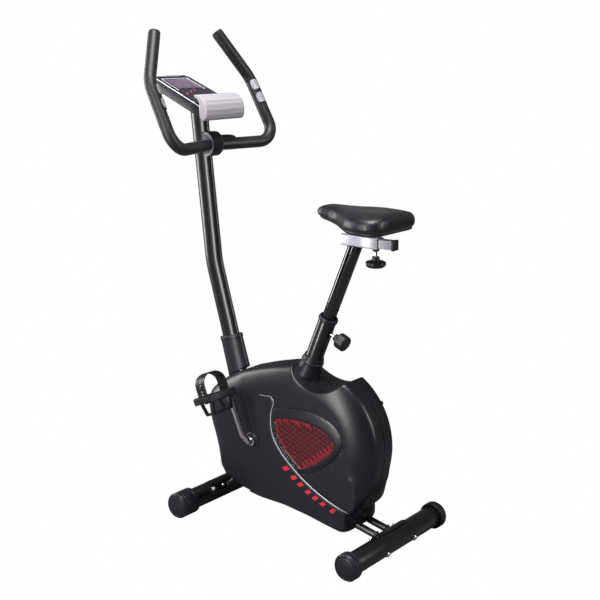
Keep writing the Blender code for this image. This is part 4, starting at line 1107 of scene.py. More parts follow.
def pop_pin():
    """Spring pin with a fluted knob."""
    pin = pin_direction()
    start = SEAT_TUBE_TOP - SEAT_AXIS * 0.030 + pin * (SEAT_POST_R + 0.0005)

    def flutes(turn, along):
        return 1 - 0.045 * (0.5 - 0.5 * cos(10 * turn)) ** 2 if along > 0.0322 else 1
    stud = soft_lathe([(0, 0), (0, 0.0048), (0.0205, 0.0048), (0.0205, 0)], 0.0006, start, pin, 32)
    piece("pop_pin_stud", stud, ZINC, "pop_pin")
    collar = [(0.0200, 0), (0.0200, 0.0098), (0.0240, 0.0100), (0.0312, 0.0088), (0.0320, 0.0120),
              (0.0325, 0.0195), (0.0360, 0.0221), (0.0410, 0.0225), (0.0570, 0.0223), (0.0612, 0.0205),
              (0.0630, 0.0150), (0.0628, 0)]
    knob = soft_lathe(collar, 0.0012, start, pin, 108, swell=flutes)
    piece("pop_pin_grip", knob, MATTE_BLACK, "pop_pin", ["pop_pin_knob"])


# ---- Seat slider and saddle ---------------------------------------------------------------
SLIDER_Z = middle("slider_end_plug").z
SLEEVE_BOTTOM = SLIDER_Z - 0.0155                  # underside of the square sleeve

# (x, half width, top, skirt's lower edge) of the saddle, nose to tail
SADDLE_STATIONS = ((0.046, 0.014, 0.923, 0.908), (0.056, 0.027, 0.933, 0.904), (0.075, 0.034, 0.938, 0.899),
                   (0.100, 0.038, 0.938, 0.895), (0.130, 0.047, 0.937, 0.889), (0.160, 0.068, 0.936, 0.884),
                   (0.190, 0.090, 0.936, 0.881), (0.220, 0.102, 0.936, 0.880), (0.247, 0.107, 0.936, 0.880),
                   (0.272, 0.105, 0.936, 0.8805), (0.290, 0.098, 0.9355, 0.882), (0.301, 0.086, 0.934, 0.884),
                   (0.307, 0.070, 0.929, 0.888))


def square_ring(half_y, half_z, radius, steps=5):
    corners = flat((-half_y, -half_z), (half_y, -half_z), (half_y, half_z), (-half_y, half_z))
    return fillet(corners, radius, steps, closed=True)


def seat_rails():
    """Square sleeve on the post, the bar that slides in it, its plug and the liner ring."""
    low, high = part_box("seat_channel")
    half_y, half_z = (high.y - low.y) / 2, SLIDER_Z - SLEEVE_BOTTOM
    centre_z = SLIDER_Z
    outer = square_ring(half_y, half_z, 0.0040)
    inner = square_ring(half_y - 0.003, half_z - 0.003, 0.0014)
    rings = []
    for x, line, pull in ((low.x, inner, 0), (low.x, outer, 0.0007), (low.x + 0.0007, outer, 0),
                          (high.x - 0.0007, outer, 0), (high.x, outer, 0.0007), (high.x, inner, 0)):
        rings.append([Vector((x, p.x * (1 - pull / half_y), centre_z + p.y * (1 - pull / half_z)))
                      for p in line])
    sleeve = loft(rings, closed=True)
    channel = piece("seat_sleeve", sleeve, SILVER, "seat_post", ["seat_channel"], sharp=45)
    slot = box(Vector(((low.x + high.x) / 2, 0, centre_z + half_z)), (0.2, 0.016, 0.010))
    carve(channel, as_cutter("sleeve_slot", slot))
    knob_top = pivot("slider_knob_turn")
    boss = soft_lathe([(0, 0.0046), (0, 0.0086), (0.0059, 0.0090), (0.0059, 0.0046)], 0.0006,
                      Vector((knob_top.x, 0, SLEEVE_BOTTOM - 0.0060)), Z, 40, hollow=True)
    piece("sleeve_boss", boss, MATTE_BLACK, "seat_post")
    liner = []
    lip = high.x + 0.0010
    for x, line in ((high.x + 0.0003, square_ring(0.0116, 0.0126, 0.0012)),
                    (high.x + 0.0003, square_ring(half_y - 0.0006, half_z - 0.0006, 0.004)),
                    (lip, square_ring(half_y - 0.0009, half_z - 0.0009, 0.004)),
                    (lip, square_ring(0.0116, 0.0126, 0.0012))):
        liner.append([Vector((x, p.x, centre_z + p.y)) for p in line])
    ring = piece("sleeve_liner", loft(liner, closed=True), MATTE_BLACK, "seat_post")
    carve(ring, as_cutter("liner_slot", box(Vector((high.x, 0, centre_z + half_z)), (0.02, 0.016, 0.012))))
    bar_low, bar_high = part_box("seat_slider")
    bar = []
    for x, pull in ((bar_low.x, 0.0006), (bar_low.x + 0.0006, 0),
                    (bar_high.x - 0.0006, 0), (bar_high.x, 0.0006)):
        outline = square_ring(0.0112 - pull, 0.0122 - pull, 0.0022)
        bar.append([Vector((x, p.x, centre_z + p.y)) for p in outline])
    slider = loft(bar)
    pedestal = box(Vector((place(0.200, 0, 0).x, 0, 0.8745)), (0.080, 0.014, 0.029), 0.001)
    piece("slide_bar", merge(slider, pedestal), SILVER, "seat_slider",
          ["seat_slider"], sharp=45)
    plug_low, plug_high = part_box("slider_end_plug")
    plug = []
    span = plug_high.x - plug_low.x
    for share, pull in ((0, 0.0008), (0.10, 0), (0.60, 0), (0.85, 0.0009), (0.96, 0.0024), (1, 0.0045)):
        plug.append([Vector((plug_low.x + span * share, p.x, centre_z + p.y))
                     for p in square_ring(0.0130 - pull, 0.0140 - pull, 0.003)])
    piece("slide_bar_plug", loft(plug), MATTE_BLACK, "seat_slider", ["slider_end_plug"])


def slider_knob():
    top = pivot("slider_knob_turn")

    def lobes(turn, along):
        return 1 - 0.05 * (0.5 - 0.5 * cos(7 * turn)) ** 2 if along > 0.0145 else 1
    stud = soft_lathe([(-0.0185, 0), (-0.0185, 0.0038), (0.0060, 0.0038), (0.0060, 0)], 0.0005, top, -Z, 32)
    piece("slider_knob_stud", stud, CHROME, "slider_knob")
    corners = [(0.0040, 0), (0.0040, 0.0098), (0.0120, 0.0105), (0.0145, 0.0118), (0.0165, 0.0235),
               (0.0190, 0.0268), (0.0235, 0.0274), (0.0295, 0.0255), (0.0330, 0.0200), (0.0340, 0.0120),
               (0.0336, 0)]
    grip = soft_lathe(corners, 0.0014, top, -Z, 112, swell=lobes)
    piece("slider_knob_grip", grip, MATTE_BLACK, "slider_knob", ["slider_knob"])


def saddle_station(x):
    xs = [s[0] for s in SADDLE_STATIONS]
    return [float(np.interp(x, xs, [s[k] for s in SADDLE_STATIONS])) for k in (1, 2, 3)]


def saddle_section(x, shrink):
    """Half round the saddle at one x: a flattened crown over a skirt that tucks under."""
    half, top, low = saddle_station(x)
    half -= shrink
    top -= shrink
    low += shrink * 0.5
    height = top - low
    points = []
    count = 44
    for k in range(count):
        turn = 2 * pi * k / count
        c, s = cos(turn), sin(turn)
        y = half * (abs(c) ** 0.50) * (1 if c > 0 else -1)
        if s >= 0:
            z = low + height * (0.34 + 0.66 * s ** 0.72)
            dip = 0.0015 * max(0, min(1, (x - 0.16) / 0.08)) * np.exp(-(y / 0.018) ** 2)
            z -= dip
        else:
            z = low + height * 0.34 * (1 - abs(s) ** 0.7)
        points.append(place(x, y, z))
    return points


def saddle_body():
    stations = np.linspace(SADDLE_STATIONS[0][0] + 0.004, SADDLE_STATIONS[-1][0] - 0.004, 44)
    rings = [saddle_section(x, 0.0035) for x in stations]
    nose, tail = rings[0], rings[-1]
    centre_nose = sum(nose, Vector()) / len(nose)
    centre_tail = sum(tail, Vector()) / len(tail)
    front, back = [], []
    for share, reach in ((0.90, 0.0035), (0.70, 0.0060), (0.40, 0.0076)):
        front.append([centre_nose + (p - centre_nose) * share - X * reach for p in nose])
        back.append([centre_tail + (p - centre_tail) * (0.2 + 0.8 * share) + X * reach * 0.55 for p in tail])
    return loft([*front[::-1], *rings, *back])


def saddle():
    """The padded top: a voxel mesh swollen by cloth pressure, then its piping and stitches."""
    pad = piece("saddle_cover", saddle_body(), VINYL, "seat_slider", ["saddle_pad"], sharp=180)
    swell(pad, 0.0045, 1.6, 0.003)
    saddle_seams(pad)
    saddle_pan()


def swell(thing, voxel, pressure, limit):
    """Voxel remesh, cloth pressure with gravity off, movement capped, one subdivision."""
    remesh = thing.modifiers.new("voxels", "REMESH")
    remesh.mode = "VOXEL"
    remesh.voxel_size = voxel
    remesh.use_smooth_shade = True
    bake(thing)
    soften = thing.modifiers.new("soften", "SMOOTH")
    soften.iterations = 6
    soften.factor = 0.5
    bake(thing)
    rest = np.empty(len(thing.data.vertices) * 3, np.float32)
    thing.data.vertices.foreach_get("co", rest)
    cloth = thing.modifiers.new("padding", "CLOTH")
    cloth.settings.use_pressure = True
    cloth.settings.uniform_pressure_force = pressure
    cloth.settings.effector_weights.gravity = 0
    cloth.settings.tension_stiffness = 25
    cloth.settings.compression_stiffness = 25
    cloth.settings.shear_stiffness = 10
    cloth.settings.bending_stiffness = 4
    scene = bpy.context.scene
    for number in range(1, 21):
        scene.frame_set(number)
    bake(thing)
    scene.frame_set(1)
    now = np.empty_like(rest)
    thing.data.vertices.foreach_get("co", now)
    move = (now - rest).reshape(-1, 3)
    length = np.linalg.norm(move, axis=1)[:, None]
    move *= np.minimum(1, limit / np.maximum(length, 1e-9))
    thing.data.vertices.foreach_set("co", (rest.reshape(-1, 3) + move).ravel())
    calm = thing.modifiers.new("calm", "SMOOTH")
    calm.iterations = 10
    calm.factor = 0.5
    bake(thing)
    rounder = thing.modifiers.new("rounder", "SUBSURF")
    rounder.levels = rounder.render_levels = 1
    bake(thing)
    thing.data.shade_smooth()


def skin_trace(tree, centre, rays, far=0.4):
    """Where rays from outside towards centre meet a surface."""
    found = []
    for ray in rays:
        start = centre + ray * far
        hit, normal, _, _ = tree.ray_cast(start, -ray)
        if hit is not None:
            found.append((hit, normal))
    return found


def saddle_seams(pad):
    """Twin piped seams near the tail, and the stitches along both."""
    bpy.context.view_layer.update()
    depsgraph = bpy.context.evaluated_depsgraph_get()
    tree = BVHTree.FromObject(pad, depsgraph)
    runs, stitches = [], []
    for back, bold in ((0.018, 0.0011), (0.010, 0.0008)):
        x = place(SADDLE_STATIONS[-1][0] - back, 0, 0).x
        centre = Vector((x, 0, 0.909))
        rays = [Vector((0, cos(radians(a)), sin(radians(a)))) for a in range(-24, 205, 3)]
        hits = skin_trace(tree, centre, rays)
        path = [p - n * 0.0002 for p, n in hits]
        runs.append(sweep(path, oval(bold, bold * 0.9, 10)))
        for k in range(2, len(hits) - 2, 2):
            p, n = hits[k]
            q, _ = hits[k + 1]
            along = (q - p).normalized()
            start = p + n * 0.0003 - X * 0.0022
            stitches.append(sweep([start, start + along * 0.0030], oval(0.0004, 0.0004, 8)))
    piece("saddle_tail_seams", merge(*runs), VINYL, "seat_slider")
    piece("saddle_stitches", merge(*stitches), THREAD, "seat_slider")


def saddle_pan():
    """Plastic base under the pad, and the nuts that hold its bracket."""
    rings = []
    for x in np.linspace(0.062, 0.292, 30):
        half, _, low = saddle_station(x)
        half = max(half - 0.014, 0.006)
        under = low - 0.0022
        upper = low + 0.008
        corners = flat((-half, upper), (-half * 0.96, under + 0.001), (-half * 0.7, under),
                       (half * 0.7, under), (half * 0.96, under + 0.001), (half, upper))
        rings.append([place(x, p.x, p.y) for p in fillet(corners, 0.003, 3, closed=True)])
    piece("saddle_pan_moulding", loft(rings), MATTE_BLACK, "seat_slider", ["saddle_base"])
    for k, (x, y) in enumerate(((0.190, 0.024), (0.190, -0.024), (0.232, 0.024), (0.232, -0.024))):
        under = saddle_station(x)[2] - 0.0022
        nut = hex_prism(place(x, y, under), -Z, 0.010, 0.0045)
        piece(f"saddle_nut_{k}", nut, ZINC, "seat_slider")


# ---- Handlebar ----------------------------------------------------------------------------
BAR_R, GRIP_R = 0.0135, 0.0172


def bar_line(side, first_y):
    """One side of the bar from first_y out, round the bends and up to its end."""
    corners = [place(-0.3365, side * first_y, 1.067), place(-0.3365, side * 0.030, 1.067),
               place(-0.280, side * 0.2115, 1.069), place(-0.377, side * 0.205, 1.248),
               place(-0.4345, side * 0.1265, 1.379)]
    return fillet(corners, [0, 0.030, 0.050, 0.100, 0], 14)


def even(path, step):
    """The same path with its points a fixed step apart."""
    spans = [(b - a).length for a, b in zip(path, path[1:])]
    length = np.concatenate([[0], np.cumsum(spans)])
    wanted = np.linspace(0, length[-1], max(2, int(length[-1] / step) + 1))
    return [Vector([np.interp(w, length, [p[k] for p in path]) for k in range(3)]) for w in wanted]


def mast_path(step):
    """The post's centre line, from inside the boot up to the console's mast plate."""
    corners = [POST_FOOT + POST_AXIS * 0.330, place(-0.342, 0, 0.727), place(-0.3925, 0, 1.171)]
    return even(fillet(corners, [0, 0.25, 0], 20), step)


def handlebar_post():
    """Oval post with a bend, the clamp's yoke, and the console's mast plate."""
    mast = sweep(mast_path(0.012), oval(0.0160, 0.0310, 64), inner=oval(0.0142, 0.0292, 64))
    yoke = tube(BAR_AXIS - Y * 0.0165, BAR_AXIS + Y * 0.0165, BAR_R + 0.003, BAR_R + 0.0004)
    plate = box(place(-0.3925, 0, 1.172), (0.070, 0.060, 0.004), 0.001, CONSOLE_TILT)
    piece("mast_weldment", merge(mast, yoke, plate), POWDER_BLACK, "root", ["handlebar_post"])
    out = Vector((1, 0, 0.12)).normalized()
    screw = soft_lathe([(0, 0), (0, 0.0052), (0.0012, 0.0050), (0.0030, 0.0026), (0.0032, 0)],
                       0.0006, place(-0.3578, 0, 1.135), out, 32)
    piece("mast_screw", screw, ZINC, "root")


def handlebar():
    """Bent steel bar, its foam sleeves with plugs in their ends, and the pulse plates."""
    left, right = bar_line(-1, 0.0), bar_line(1, 0.0)
    path = even(left[::-1], 0.012) + even(right, 0.012)[1:]
    bar = sweep(path, oval(BAR_R, BAR_R, 40), inner=oval(BAR_R - 0.002, BAR_R - 0.002, 40))
    piece("bent_bar", bar, POWDER_BLACK, "handlebar", ["handlebar"])
    for side, hand in SIDES:
        grip = even(bar_line(side, 0.0247), 0.006)
        last = len(grip) - 1

        def section(k):
            near_end = min(k, last - k)
            radius = GRIP_R - (0.0012 if near_end == 0 else 0.0)
            return oval(radius, radius, 48)
        sleeve = sweep(grip, section, inner=oval(BAR_R + 0.0003, BAR_R + 0.0003, 48))
        piece(f"{hand}_grip_sleeve", sleeve, FOAM, "handlebar", [f"{hand}_foam_grip"], sharp=60)
        out = (grip[-1] - grip[-2]).normalized()
        cap = [(-0.014, 0.0), (-0.014, 0.0110), (0.0004, 0.0112), (0.0004, 0.0166), (0.0018, 0.0168),
               (0.0042, 0.0140), (0.0050, 0.0060), (0.0052, 0.0)]
        plug = soft_lathe(cap, 0.0010, grip[-1] - out * 0.0006, out, 56)
        piece(f"{hand}_grip_plug", plug, MATTE_BLACK, "handlebar")
        pulse_plates(side, hand)


def curved_plate(low, high, toward, radius, thick, half_angle, round_ends):
    """A plate that follows a tube from low to high, its corners rounded."""
    along = (high - low).normalized()
    toward = (toward - along * along.dot(toward)).normalized()
    beside = along.cross(toward)
    length = (high - low).length
    rings = []
    rows = [(round_ends * (1 - cos(pi / 2 * k / 5)), 1 - (1 - sin(pi / 2 * k / 5)) * 0.55) for k in range(6)]
    rows += [(length - d, share) for d, share in rows[::-1]]
    for d, share in rows:
        centre = low + along * d
        top = [half_angle * share * (1 - 2 * k / 10) for k in range(11)]
        points = [centre + (toward * cos(a) + beside * sin(a)) * (radius + thick) for a in top]
        points += [centre + (toward * cos(a) + beside * sin(a)) * radius for a in top[::-1]]
        rings.append(points)
    return loft(rings)


def pulse_plates(side, hand):
    """Two contact plates on a dark carrier, with a gap between them."""
    low, high = place(-0.335, side * 0.209, 1.172), place(-0.372, side * 0.2035, 1.239)
    toward = Vector((0.86, -side * 0.5, 0.2))
    along = (high - low).normalized()
    length = (high - low).length
    carrier = curved_plate(low, high, toward, GRIP_R - 0.001, 0.0026, radians(42), 0.013)
    piece(f"{hand}_sensor_carrier", carrier, MATTE_BLACK, "handlebar")
    half_gap = 0.0055
    first = curved_plate(low + along * 0.002, low + along * (length / 2 - half_gap), toward,
                         GRIP_R + 0.0014, 0.0020, radians(32), 0.012)
    second = curved_plate(low + along * (length / 2 + half_gap), high - along * 0.002, toward,
                          GRIP_R + 0.0014, 0.0020, radians(32), 0.012)
    piece(f"{hand}_contact_plates", merge(first, second), SENSOR, "handlebar",
          [f"{hand}_pulse_sensor"])


def clamp():
    """D-shaped cover with a raised rim on its cheeks, and the barrel-shaped tightening knob; the rim's grey
    is a painted highlight.
    """
    centre_x, centre_z = place(-0.3485, 0, 0).x, BAR_AXIS.z

    def outline(radius, front=-0.3565):
        points = [Vector((p.x, centre_z + 0.0025 + (p.y - centre_z) * 1.10))
                  for p in arc(centre_x, centre_z, radius, -100, 100, 32)]
        front_x = place(front, 0, 0).x
        return [*points, Vector((front_x - 0.0045, points[-1].y)), Vector((front_x + 0.0030, points[0].y))]

    def at(points, y):
        return [Vector((p.x, y, p.y)) for p in points]
    rows = ((-0.0215, 0.0008), (-0.0208, 0.0), (0.0208, 0.0), (0.0215, 0.0008))
    shroud = loft([at(outline(0.032 - inset), y) for y, inset in rows])
    body = piece("clamp_shroud", shroud, MATTE_BLACK, "root", ["clamp_cover"])
    cavity = loft([at(outline(0.029, -0.390), y) for y in (-0.0185, 0.0185)])
    mast = sweep(mast_path(0.02), oval(0.0166, 0.0316, 48))
    bore = rod(BAR_AXIS - Y * 0.04, BAR_AXIS + Y * 0.04, BAR_R + 0.001, 48)
    carve(body, as_cutter("cavity", cavity), as_cutter("mast", mast), as_cutter("bore", bore))
    reshade(body)
    for side, hand in SIDES:
        line = at(outline(0.0284)[:-2], side * 0.0217)
        rim = sweep(line, oval(0.0011, 0.0034, 16), first_side=Y)
        # the rim is real, but its pale grey is a painted highlight of the cover's edge
        piece(f"{hand}_clamp_rim", rim, RIM_PAINTED_HIGHLIGHT, "root")
        face = loft([at(outline(0.0262 - inset), side * y) for y, inset in
                     ((0.0213, 0.0), (0.0219, 0.0), (0.0221, 0.0006))])
        cheek = piece(f"{hand}_clamp_cheek", face, CHEEK_GREY, "root")
        cheek_bore = rod(BAR_AXIS - Y * 0.04, BAR_AXIS + Y * 0.04, BAR_R + 0.0014, 48)
        cheek_mast = sweep(mast_path(0.02), oval(0.0240, 0.0290, 48))
        carve(cheek, as_cutter("cheek_bore", cheek_bore), as_cutter("cheek_mast", cheek_mast))
    start = pivot("clamp_knob_turn")
    profile = [(0, 0), (0, 0.0055), (0.0290, 0.0055), (0.0296, 0.0090), (0.0400, 0.0127), (0.0550, 0.0138),
               (0.0850, 0.0138), (0.1050, 0.0120), (0.1180, 0.0090), (0.1200, 0.0070), (0.1200, 0)]
    knob = soft_lathe(profile, 0.0009, start, Y, 56)
    piece("clamp_lever", knob, MATTE_BLACK, "clamp_knob", ["clamp_knob"])


# ---- Console ------------------------------------------------------------------------------
CONSOLE_MID = place(-0.4135, 0, 1.2188)
CONSOLE_TILT = radians(22)
SLOPE = Vector((cos(CONSOLE_TILT), 0, -sin(CONSOLE_TILT)))
NORMAL = Vector((sin(CONSOLE_TILT), 0, cos(CONSOLE_TILT)))
CASE_DEPTH = 0.0295
# (name, along the face, sideways) of the three buttons
BUTTONS = (("down", 0.0220, -0.0440), ("mode", 0.0110, -0.0190), ("up", 0.0, 0.0060))


def on_console(along, sideways, above):
    return CONSOLE_MID + SLOPE * along + Y * sideways + NORMAL * above


def console_plate(outline, low, high, edge=0.0, steps=3):
    return slab(outline, CONSOLE_MID, SLOPE, Y, NORMAL, low, high, edge, steps)


def mirrored(half):
    """A closed outline from its +Y half, listed from front to rear."""
    return flat(*half, *((a, -c) for a, c in half[::-1]))


def rear_end(height):
    """How far back the case reaches at a height over its face: rounded, then upright."""
    if height > -0.0100:
        return 0.0938 + 0.016 * sqrt(max(0.0, 1 - ((min(height, 0.0) + 0.016) / 0.016) ** 2))
    return 0.1046 - 0.404 * height


def case_ring(height, inset):
    """The case's outline at a height over its face, drawn in by inset."""
    half = ((-0.101, 0.062), (-0.091, 0.0705), (0.080, 0.0760), (rear_end(height), 0.0745))
    radii = [0.006, 0.012, 0.020, 0.004]
    return on_level(fillet(mirrored(half), radii + radii[::-1], 6, closed=True), height, inset)


def button_wells():
    """Cutters for the holes that the buttons stand in."""
    return [as_cutter("well", rod(on_console(a, c, -0.0085), on_console(a, c, 0.01), 0.0050, 40))
            for _, a, c in BUTTONS]


def console():
    """Black case whose rear end turns down, a pale line round its edge, and a silver bead."""
    depth = CASE_DEPTH
    rows = ((-depth + 0.010, 0.0080), (-depth + 0.010, 0.0058), (-depth, 0.0066), (-depth, 0.0044),
            (-depth + 0.0016, 0.0030), (-0.0180, 0.0012), (-0.0130, 0.0004), (-0.0100, 0.0), (-0.0070, 0.0),
            (-0.0042, 0.0), (-0.0024, 0.0), (-0.0010, 0.0004), (-0.0002, 0.0012), (0.0, 0.0030))
    shell = piece("console_case", loft([case_ring(level, inset) for level, inset in rows]), MATTE_BLACK,
                  "root", ["console_body"], sharp=45)
    window = mirrored(((-0.0770, 0.0465), (-0.0130, 0.0465)))
    hole = as_cutter("window", console_plate(window, -0.0030, 0.01))
    carve(shell, hole, *button_wells())
    reshade(shell, 40)
    edge = []
    for height in (-0.0280, -0.0220, -0.0160, -0.0100, -0.0070, -0.0042, -0.0020, -0.0006):
        edge.append((rear_end(height) + 0.0004, 0.0735, height))
    edge += [(0.088, 0.0742, 0.0004), (0.060, 0.0744, 0.0006), (0.0, 0.0726, 0.0008),
             (-0.060, 0.0708, 0.0010), (-0.086, 0.0700, 0.0012), (-0.0955, 0.0660, 0.0016),
             (-0.1005, 0.0600, 0.0018), (-0.1015, 0.0400, 0.0020)]
    half = [on_console(a, c, h) for a, c, h in edge]
    line = [*half, *(Vector((p.x, -p.y, p.z)) for p in half[::-1])]
    rim = sweep(even(smooth_path(line, 5), 0.003), oval(0.0017, 0.0015, 14))
    piece("console_pale_rim", rim, RIM_WHITE, "root")
    corners = [Vector((-0.004, -0.0535)), Vector((-0.0815, -0.0520)), Vector((-0.0815, 0.0520)),
               Vector((-0.004, 0.0535))]
    path = even([on_console(p.x, p.y, 0.0002) for p in fillet(corners, [0, 0.003, 0.003, 0], 4)], 0.003)
    piece("console_bead", sweep(path, oval(0.0022, 0.0014, 12)), TRIM_SILVER, "root")
    lip = [(-0.0930, 0.0670, 0.0012), (-0.0990, 0.0610, 0.0016), (-0.1012, 0.0450, 0.0020),
           (-0.1018, 0, 0.0022)]
    lip += [(a, -c, h) for a, c, h in lip[-2::-1]]
    line = even(smooth_path([on_console(a, c, h) for a, c, h in lip], 5), 0.003)
    piece("console_front_lip", sweep(line, oval(0.0028, 0.0021, 16)), RIM_WHITE, "root")
    film = console_plate(mirrored(((-0.008, 0.0530), (0.030, 0.0600), (0.0860, 0.0640))), -0.0002, 0.00022)
    face = piece("console_face_film", film, FACE_PURPLE, "root")
    carve(face, *button_wells())
    display()
    buttons()
    nose()
    for k, (a, c) in enumerate(((-0.080, 0.050), (-0.080, -0.050), (0.070, 0.055), (0.070, -0.055))):
        head = soft_lathe([(0, 0), (0, 0.0034), (0.0010, 0.0034), (0.0022, 0.0020), (0.0024, 0)], 0.0004,
                          on_console(a, c, -CASE_DEPTH + 0.010), -NORMAL, 28)
        piece(f"console_screw_{k}", head, ZINC, "root")


def on_level(outline, level, inset):
    """The outline drawn in by inset, at a height over the console's face."""
    count = len(outline)
    area = sum(outline[k - 1].cross(outline[k]) for k in range(count))
    points = []
    for k in range(count):
        along = (outline[(k + 1) % count] - outline[k - 1]).normalized()
        inward = Vector((-along.y, along.x)) * (1 if area > 0 else -1)
        p = outline[k] + inward * inset
        points.append(on_console(p.x, p.y, level))
    return points


def as_cutter(name, shape):
    bmesh.ops.recalc_face_normals(shape, faces=shape.faces)
    mesh = bpy.data.meshes.new(name)
    shape.to_mesh(mesh)
    shape.free()
    cutter = bpy.data.objects.new(name, mesh)
    bpy.context.scene.collection.objects.link(cutter)
    return cutter


def display():
    """Glass over the screen, with generic rows of segments and bars on it."""
    window = fillet(mirrored(((-0.0767, 0.0462), (-0.0133, 0.0462))), 0.003, 4, closed=True)
    piece("display_glass", console_plate(window, -0.0013, 0.0006, 0.0005, 2), GLASS, "root",
          ["lcd_window"])
    panel = fillet(mirrored(((-0.0730, 0.0415), (-0.0170, 0.0415))), 0.002, 3, closed=True)
    piece("display_panel", console_plate(panel, 0.0005, 0.00068), LCD_GREY, "root")
    marks = []
    for row, (along, tall) in enumerate(((-0.0600, 0.0100), (-0.0410, 0.0120), (-0.0215, 0.0080))):
        pitch = 0.0125 if row != 1 else 0.0180
        columns = 6 if row != 1 else 4
        for column in range(columns):
            c = (column - (columns - 1) / 2) * pitch
            marks += digit(along, c, tall, pitch * 0.52)
    for k in range(13):
        c = (k - 6) * 0.0058
        tall = 0.0014 + 0.0020 * abs(sin(k * 1.7))
        marks.append(console_plate(mirrored_at(c, -0.0315, 0.0026, tall), 0.00070, 0.00086))
    piece("display_segments", merge(*marks), SEGMENT, "root")


def mirrored_at(c, along, wide, tall):
    return flat((along - tall, c - wide / 2), (along - tall, c + wide / 2), (along, c + wide / 2),
                (along, c - wide / 2))


def digit(along, c, tall, wide):
    """Seven plain segments in the shape of an eight."""
    bar = 0.0011
    bars = [mirrored_at(c, along - d, wide - 2 * bar, bar) for d in (0, tall / 2, tall)]
    for offset in (-wide / 2, wide / 2):
        for d in (0.2, 0.72):
            bars.append(mirrored_at(c + offset, along - bar - (tall / 2) * (0.12 if d < 0.5 else 1.12), bar,
                                    tall * 0.34))
    return [console_plate(b, 0.00070, 0.00086) for b in bars]


def buttons():
    """Domed buttons, each with a small raised mark, and a plain printed arc beside each."""
    marks = []
    for name, a, c in BUTTONS:
        base = on_console(a, c, -0.0035)
        top = 0.0059
        cap = [(0, 0), (0, 0.0045), (top - 0.0020, 0.0045), (top - 0.0006, 0.0037),
               (top - 0.0001, 0.0020), (top, 0)]
        node = f"{name}_button"
        dome = soft_lathe(cap, 0.0006, base, NORMAL, 48)
        piece(f"{node}_cap", dome, BUTTON_RED, node, [node])
        reach = 0.0020
        mark = [Vector((a + reach * cos(t), c + reach * sin(t)))
                for t in (radians(d) for d in ((0, 120, 240) if name != "mode" else range(0, 360, 30)))]
        piece(f"{node}_mark", console_plate(mark, 0.0024, 0.0026), PINK_PRINT, node)
        for radius, first, last in ((0.0078, 100, 250), (0.0098, 120, 230)):
            turns = [radians(d) for d in range(first, last + 1, 10)]
            outer = [Vector((a + (radius + 0.0004) * cos(t), c + (radius + 0.0004) * sin(t))) for t in turns]
            inner = [Vector((a + (radius - 0.0004) * cos(t), c + (radius - 0.0004) * sin(t))) for t in turns]
            marks.append(console_plate(outer + inner[::-1], 0.0, 0.0002))
    piece("console_print", merge(*marks), DULL_PRINT, "root")


# Side view of the nose, (x, z) from its lip round its back and under it
NOSE_OUTER = ((-0.334, 1.2118), (-0.322, 1.2120), (-0.309, 1.2064), (-0.297, 1.1975), (-0.290, 1.186),
              (-0.2870, 1.171), (-0.2875, 1.157), (-0.2905, 1.147), (-0.2965, 1.1415), (-0.303, 1.1405))
NOSE_INNER = ((-0.3095, 1.144), (-0.3130, 1.152), (-0.3152, 1.165), (-0.3152, 1.190), (-0.3230, 1.2015),
              (-0.334, 1.2065))


def nose():
    """Pale roll at the console's lower end, its ends rounded, with a groove along it."""
    profile = [Vector((place(x, 0, 0).x, z)) for x, z in NOSE_OUTER + NOSE_INNER]
    profile = fillet(profile, 0.0045, 4, closed=True)
    middle_point = Vector((place(-0.300, 0, 0).x, 1.176))
    half, bend, pull = 0.0795, 0.0036, 0.0026
    rows = []
    for k in range(9):
        t = pi / 2 * k / 8
        rows.append((-half + bend * (1 - cos(t)), pull * (1 - sin(t))))
    rows += [(-y, inset) for y, inset in rows[::-1]]
    rings = []
    for y, inset in rows:
        points = []
        for p in profile:
            reach = p - middle_point
            forward = max(0.0, min(1.0, (middle_point.x - p.x) / 0.015))
            scale = 1 - inset * (1 - 0.55 * forward) / max(reach.length, 1e-6)
            q = middle_point + reach * scale
            points.append(Vector((q.x, y, q.y)))
        rings.append(points)
    roll = piece("nose_roll", loft(rings), PALE_GREY, "root", ["console_nose"], sharp=50)
    groove = [place(-0.2938, y, 1.1928) for y in np.linspace(-0.070, 0.070, 30)]
    cutter = as_cutter("groove", sweep(groove, oval(0.0012, 0.0012, 16)))
    carve(roll, cutter)
    reshade(roll, 40)
    ridges = []
    for k in range(5):
        at = place(-0.2871, (k - 2) * 0.017, 1.170)
        ridges.append(sweep([at - Y * 0.005, at + Y * 0.005], oval(0.0006, 0.0012, 10)))
    piece("nose_emboss", merge(*ridges), PALE_GREY, "root")


# ---- Crank and pedals ---------------------------------------------------------------------
UP_ARM = Vector((-sin(radians(19.8)), 0, cos(radians(19.8))))
PEDAL_PITCH = radians(23)
CRANK_ARM = 0.155                                  # from the shell to a pedal's axis
PEDAL_OUT = 0.1705                                 # from the seam to a pedal's middle

# Across the strap: (position from -1 to 1, height of the surface over the inner face)
STRAP_SECTION = ((-1, 0.0004), (-1, 0.0026), (-0.84, 0.0026), (-0.78, 0.0019), (-0.46, 0.0019),
                 (-0.40, 0.0026), (-0.26, 0.0026), (-0.20, 0.0019), (0.20, 0.0019), (0.26, 0.0026),
                 (0.40, 0.0026), (0.46, 0.0019), (0.78, 0.0019), (0.84, 0.0026), (1, 0.0026), (1, 0.0004))


def pedal_point(side, local):
    """local is (aft, outward, up) from the pedal's centre, along its own pitched tread."""
    centre = CRANK - UP_ARM * side * CRANK_ARM + Y * side * PEDAL_OUT
    turned = Matrix.Rotation(-PEDAL_PITCH, 3, "Y") @ Vector((local[0], 0, local[2]))
    return centre + turned + Y * side * local[1]


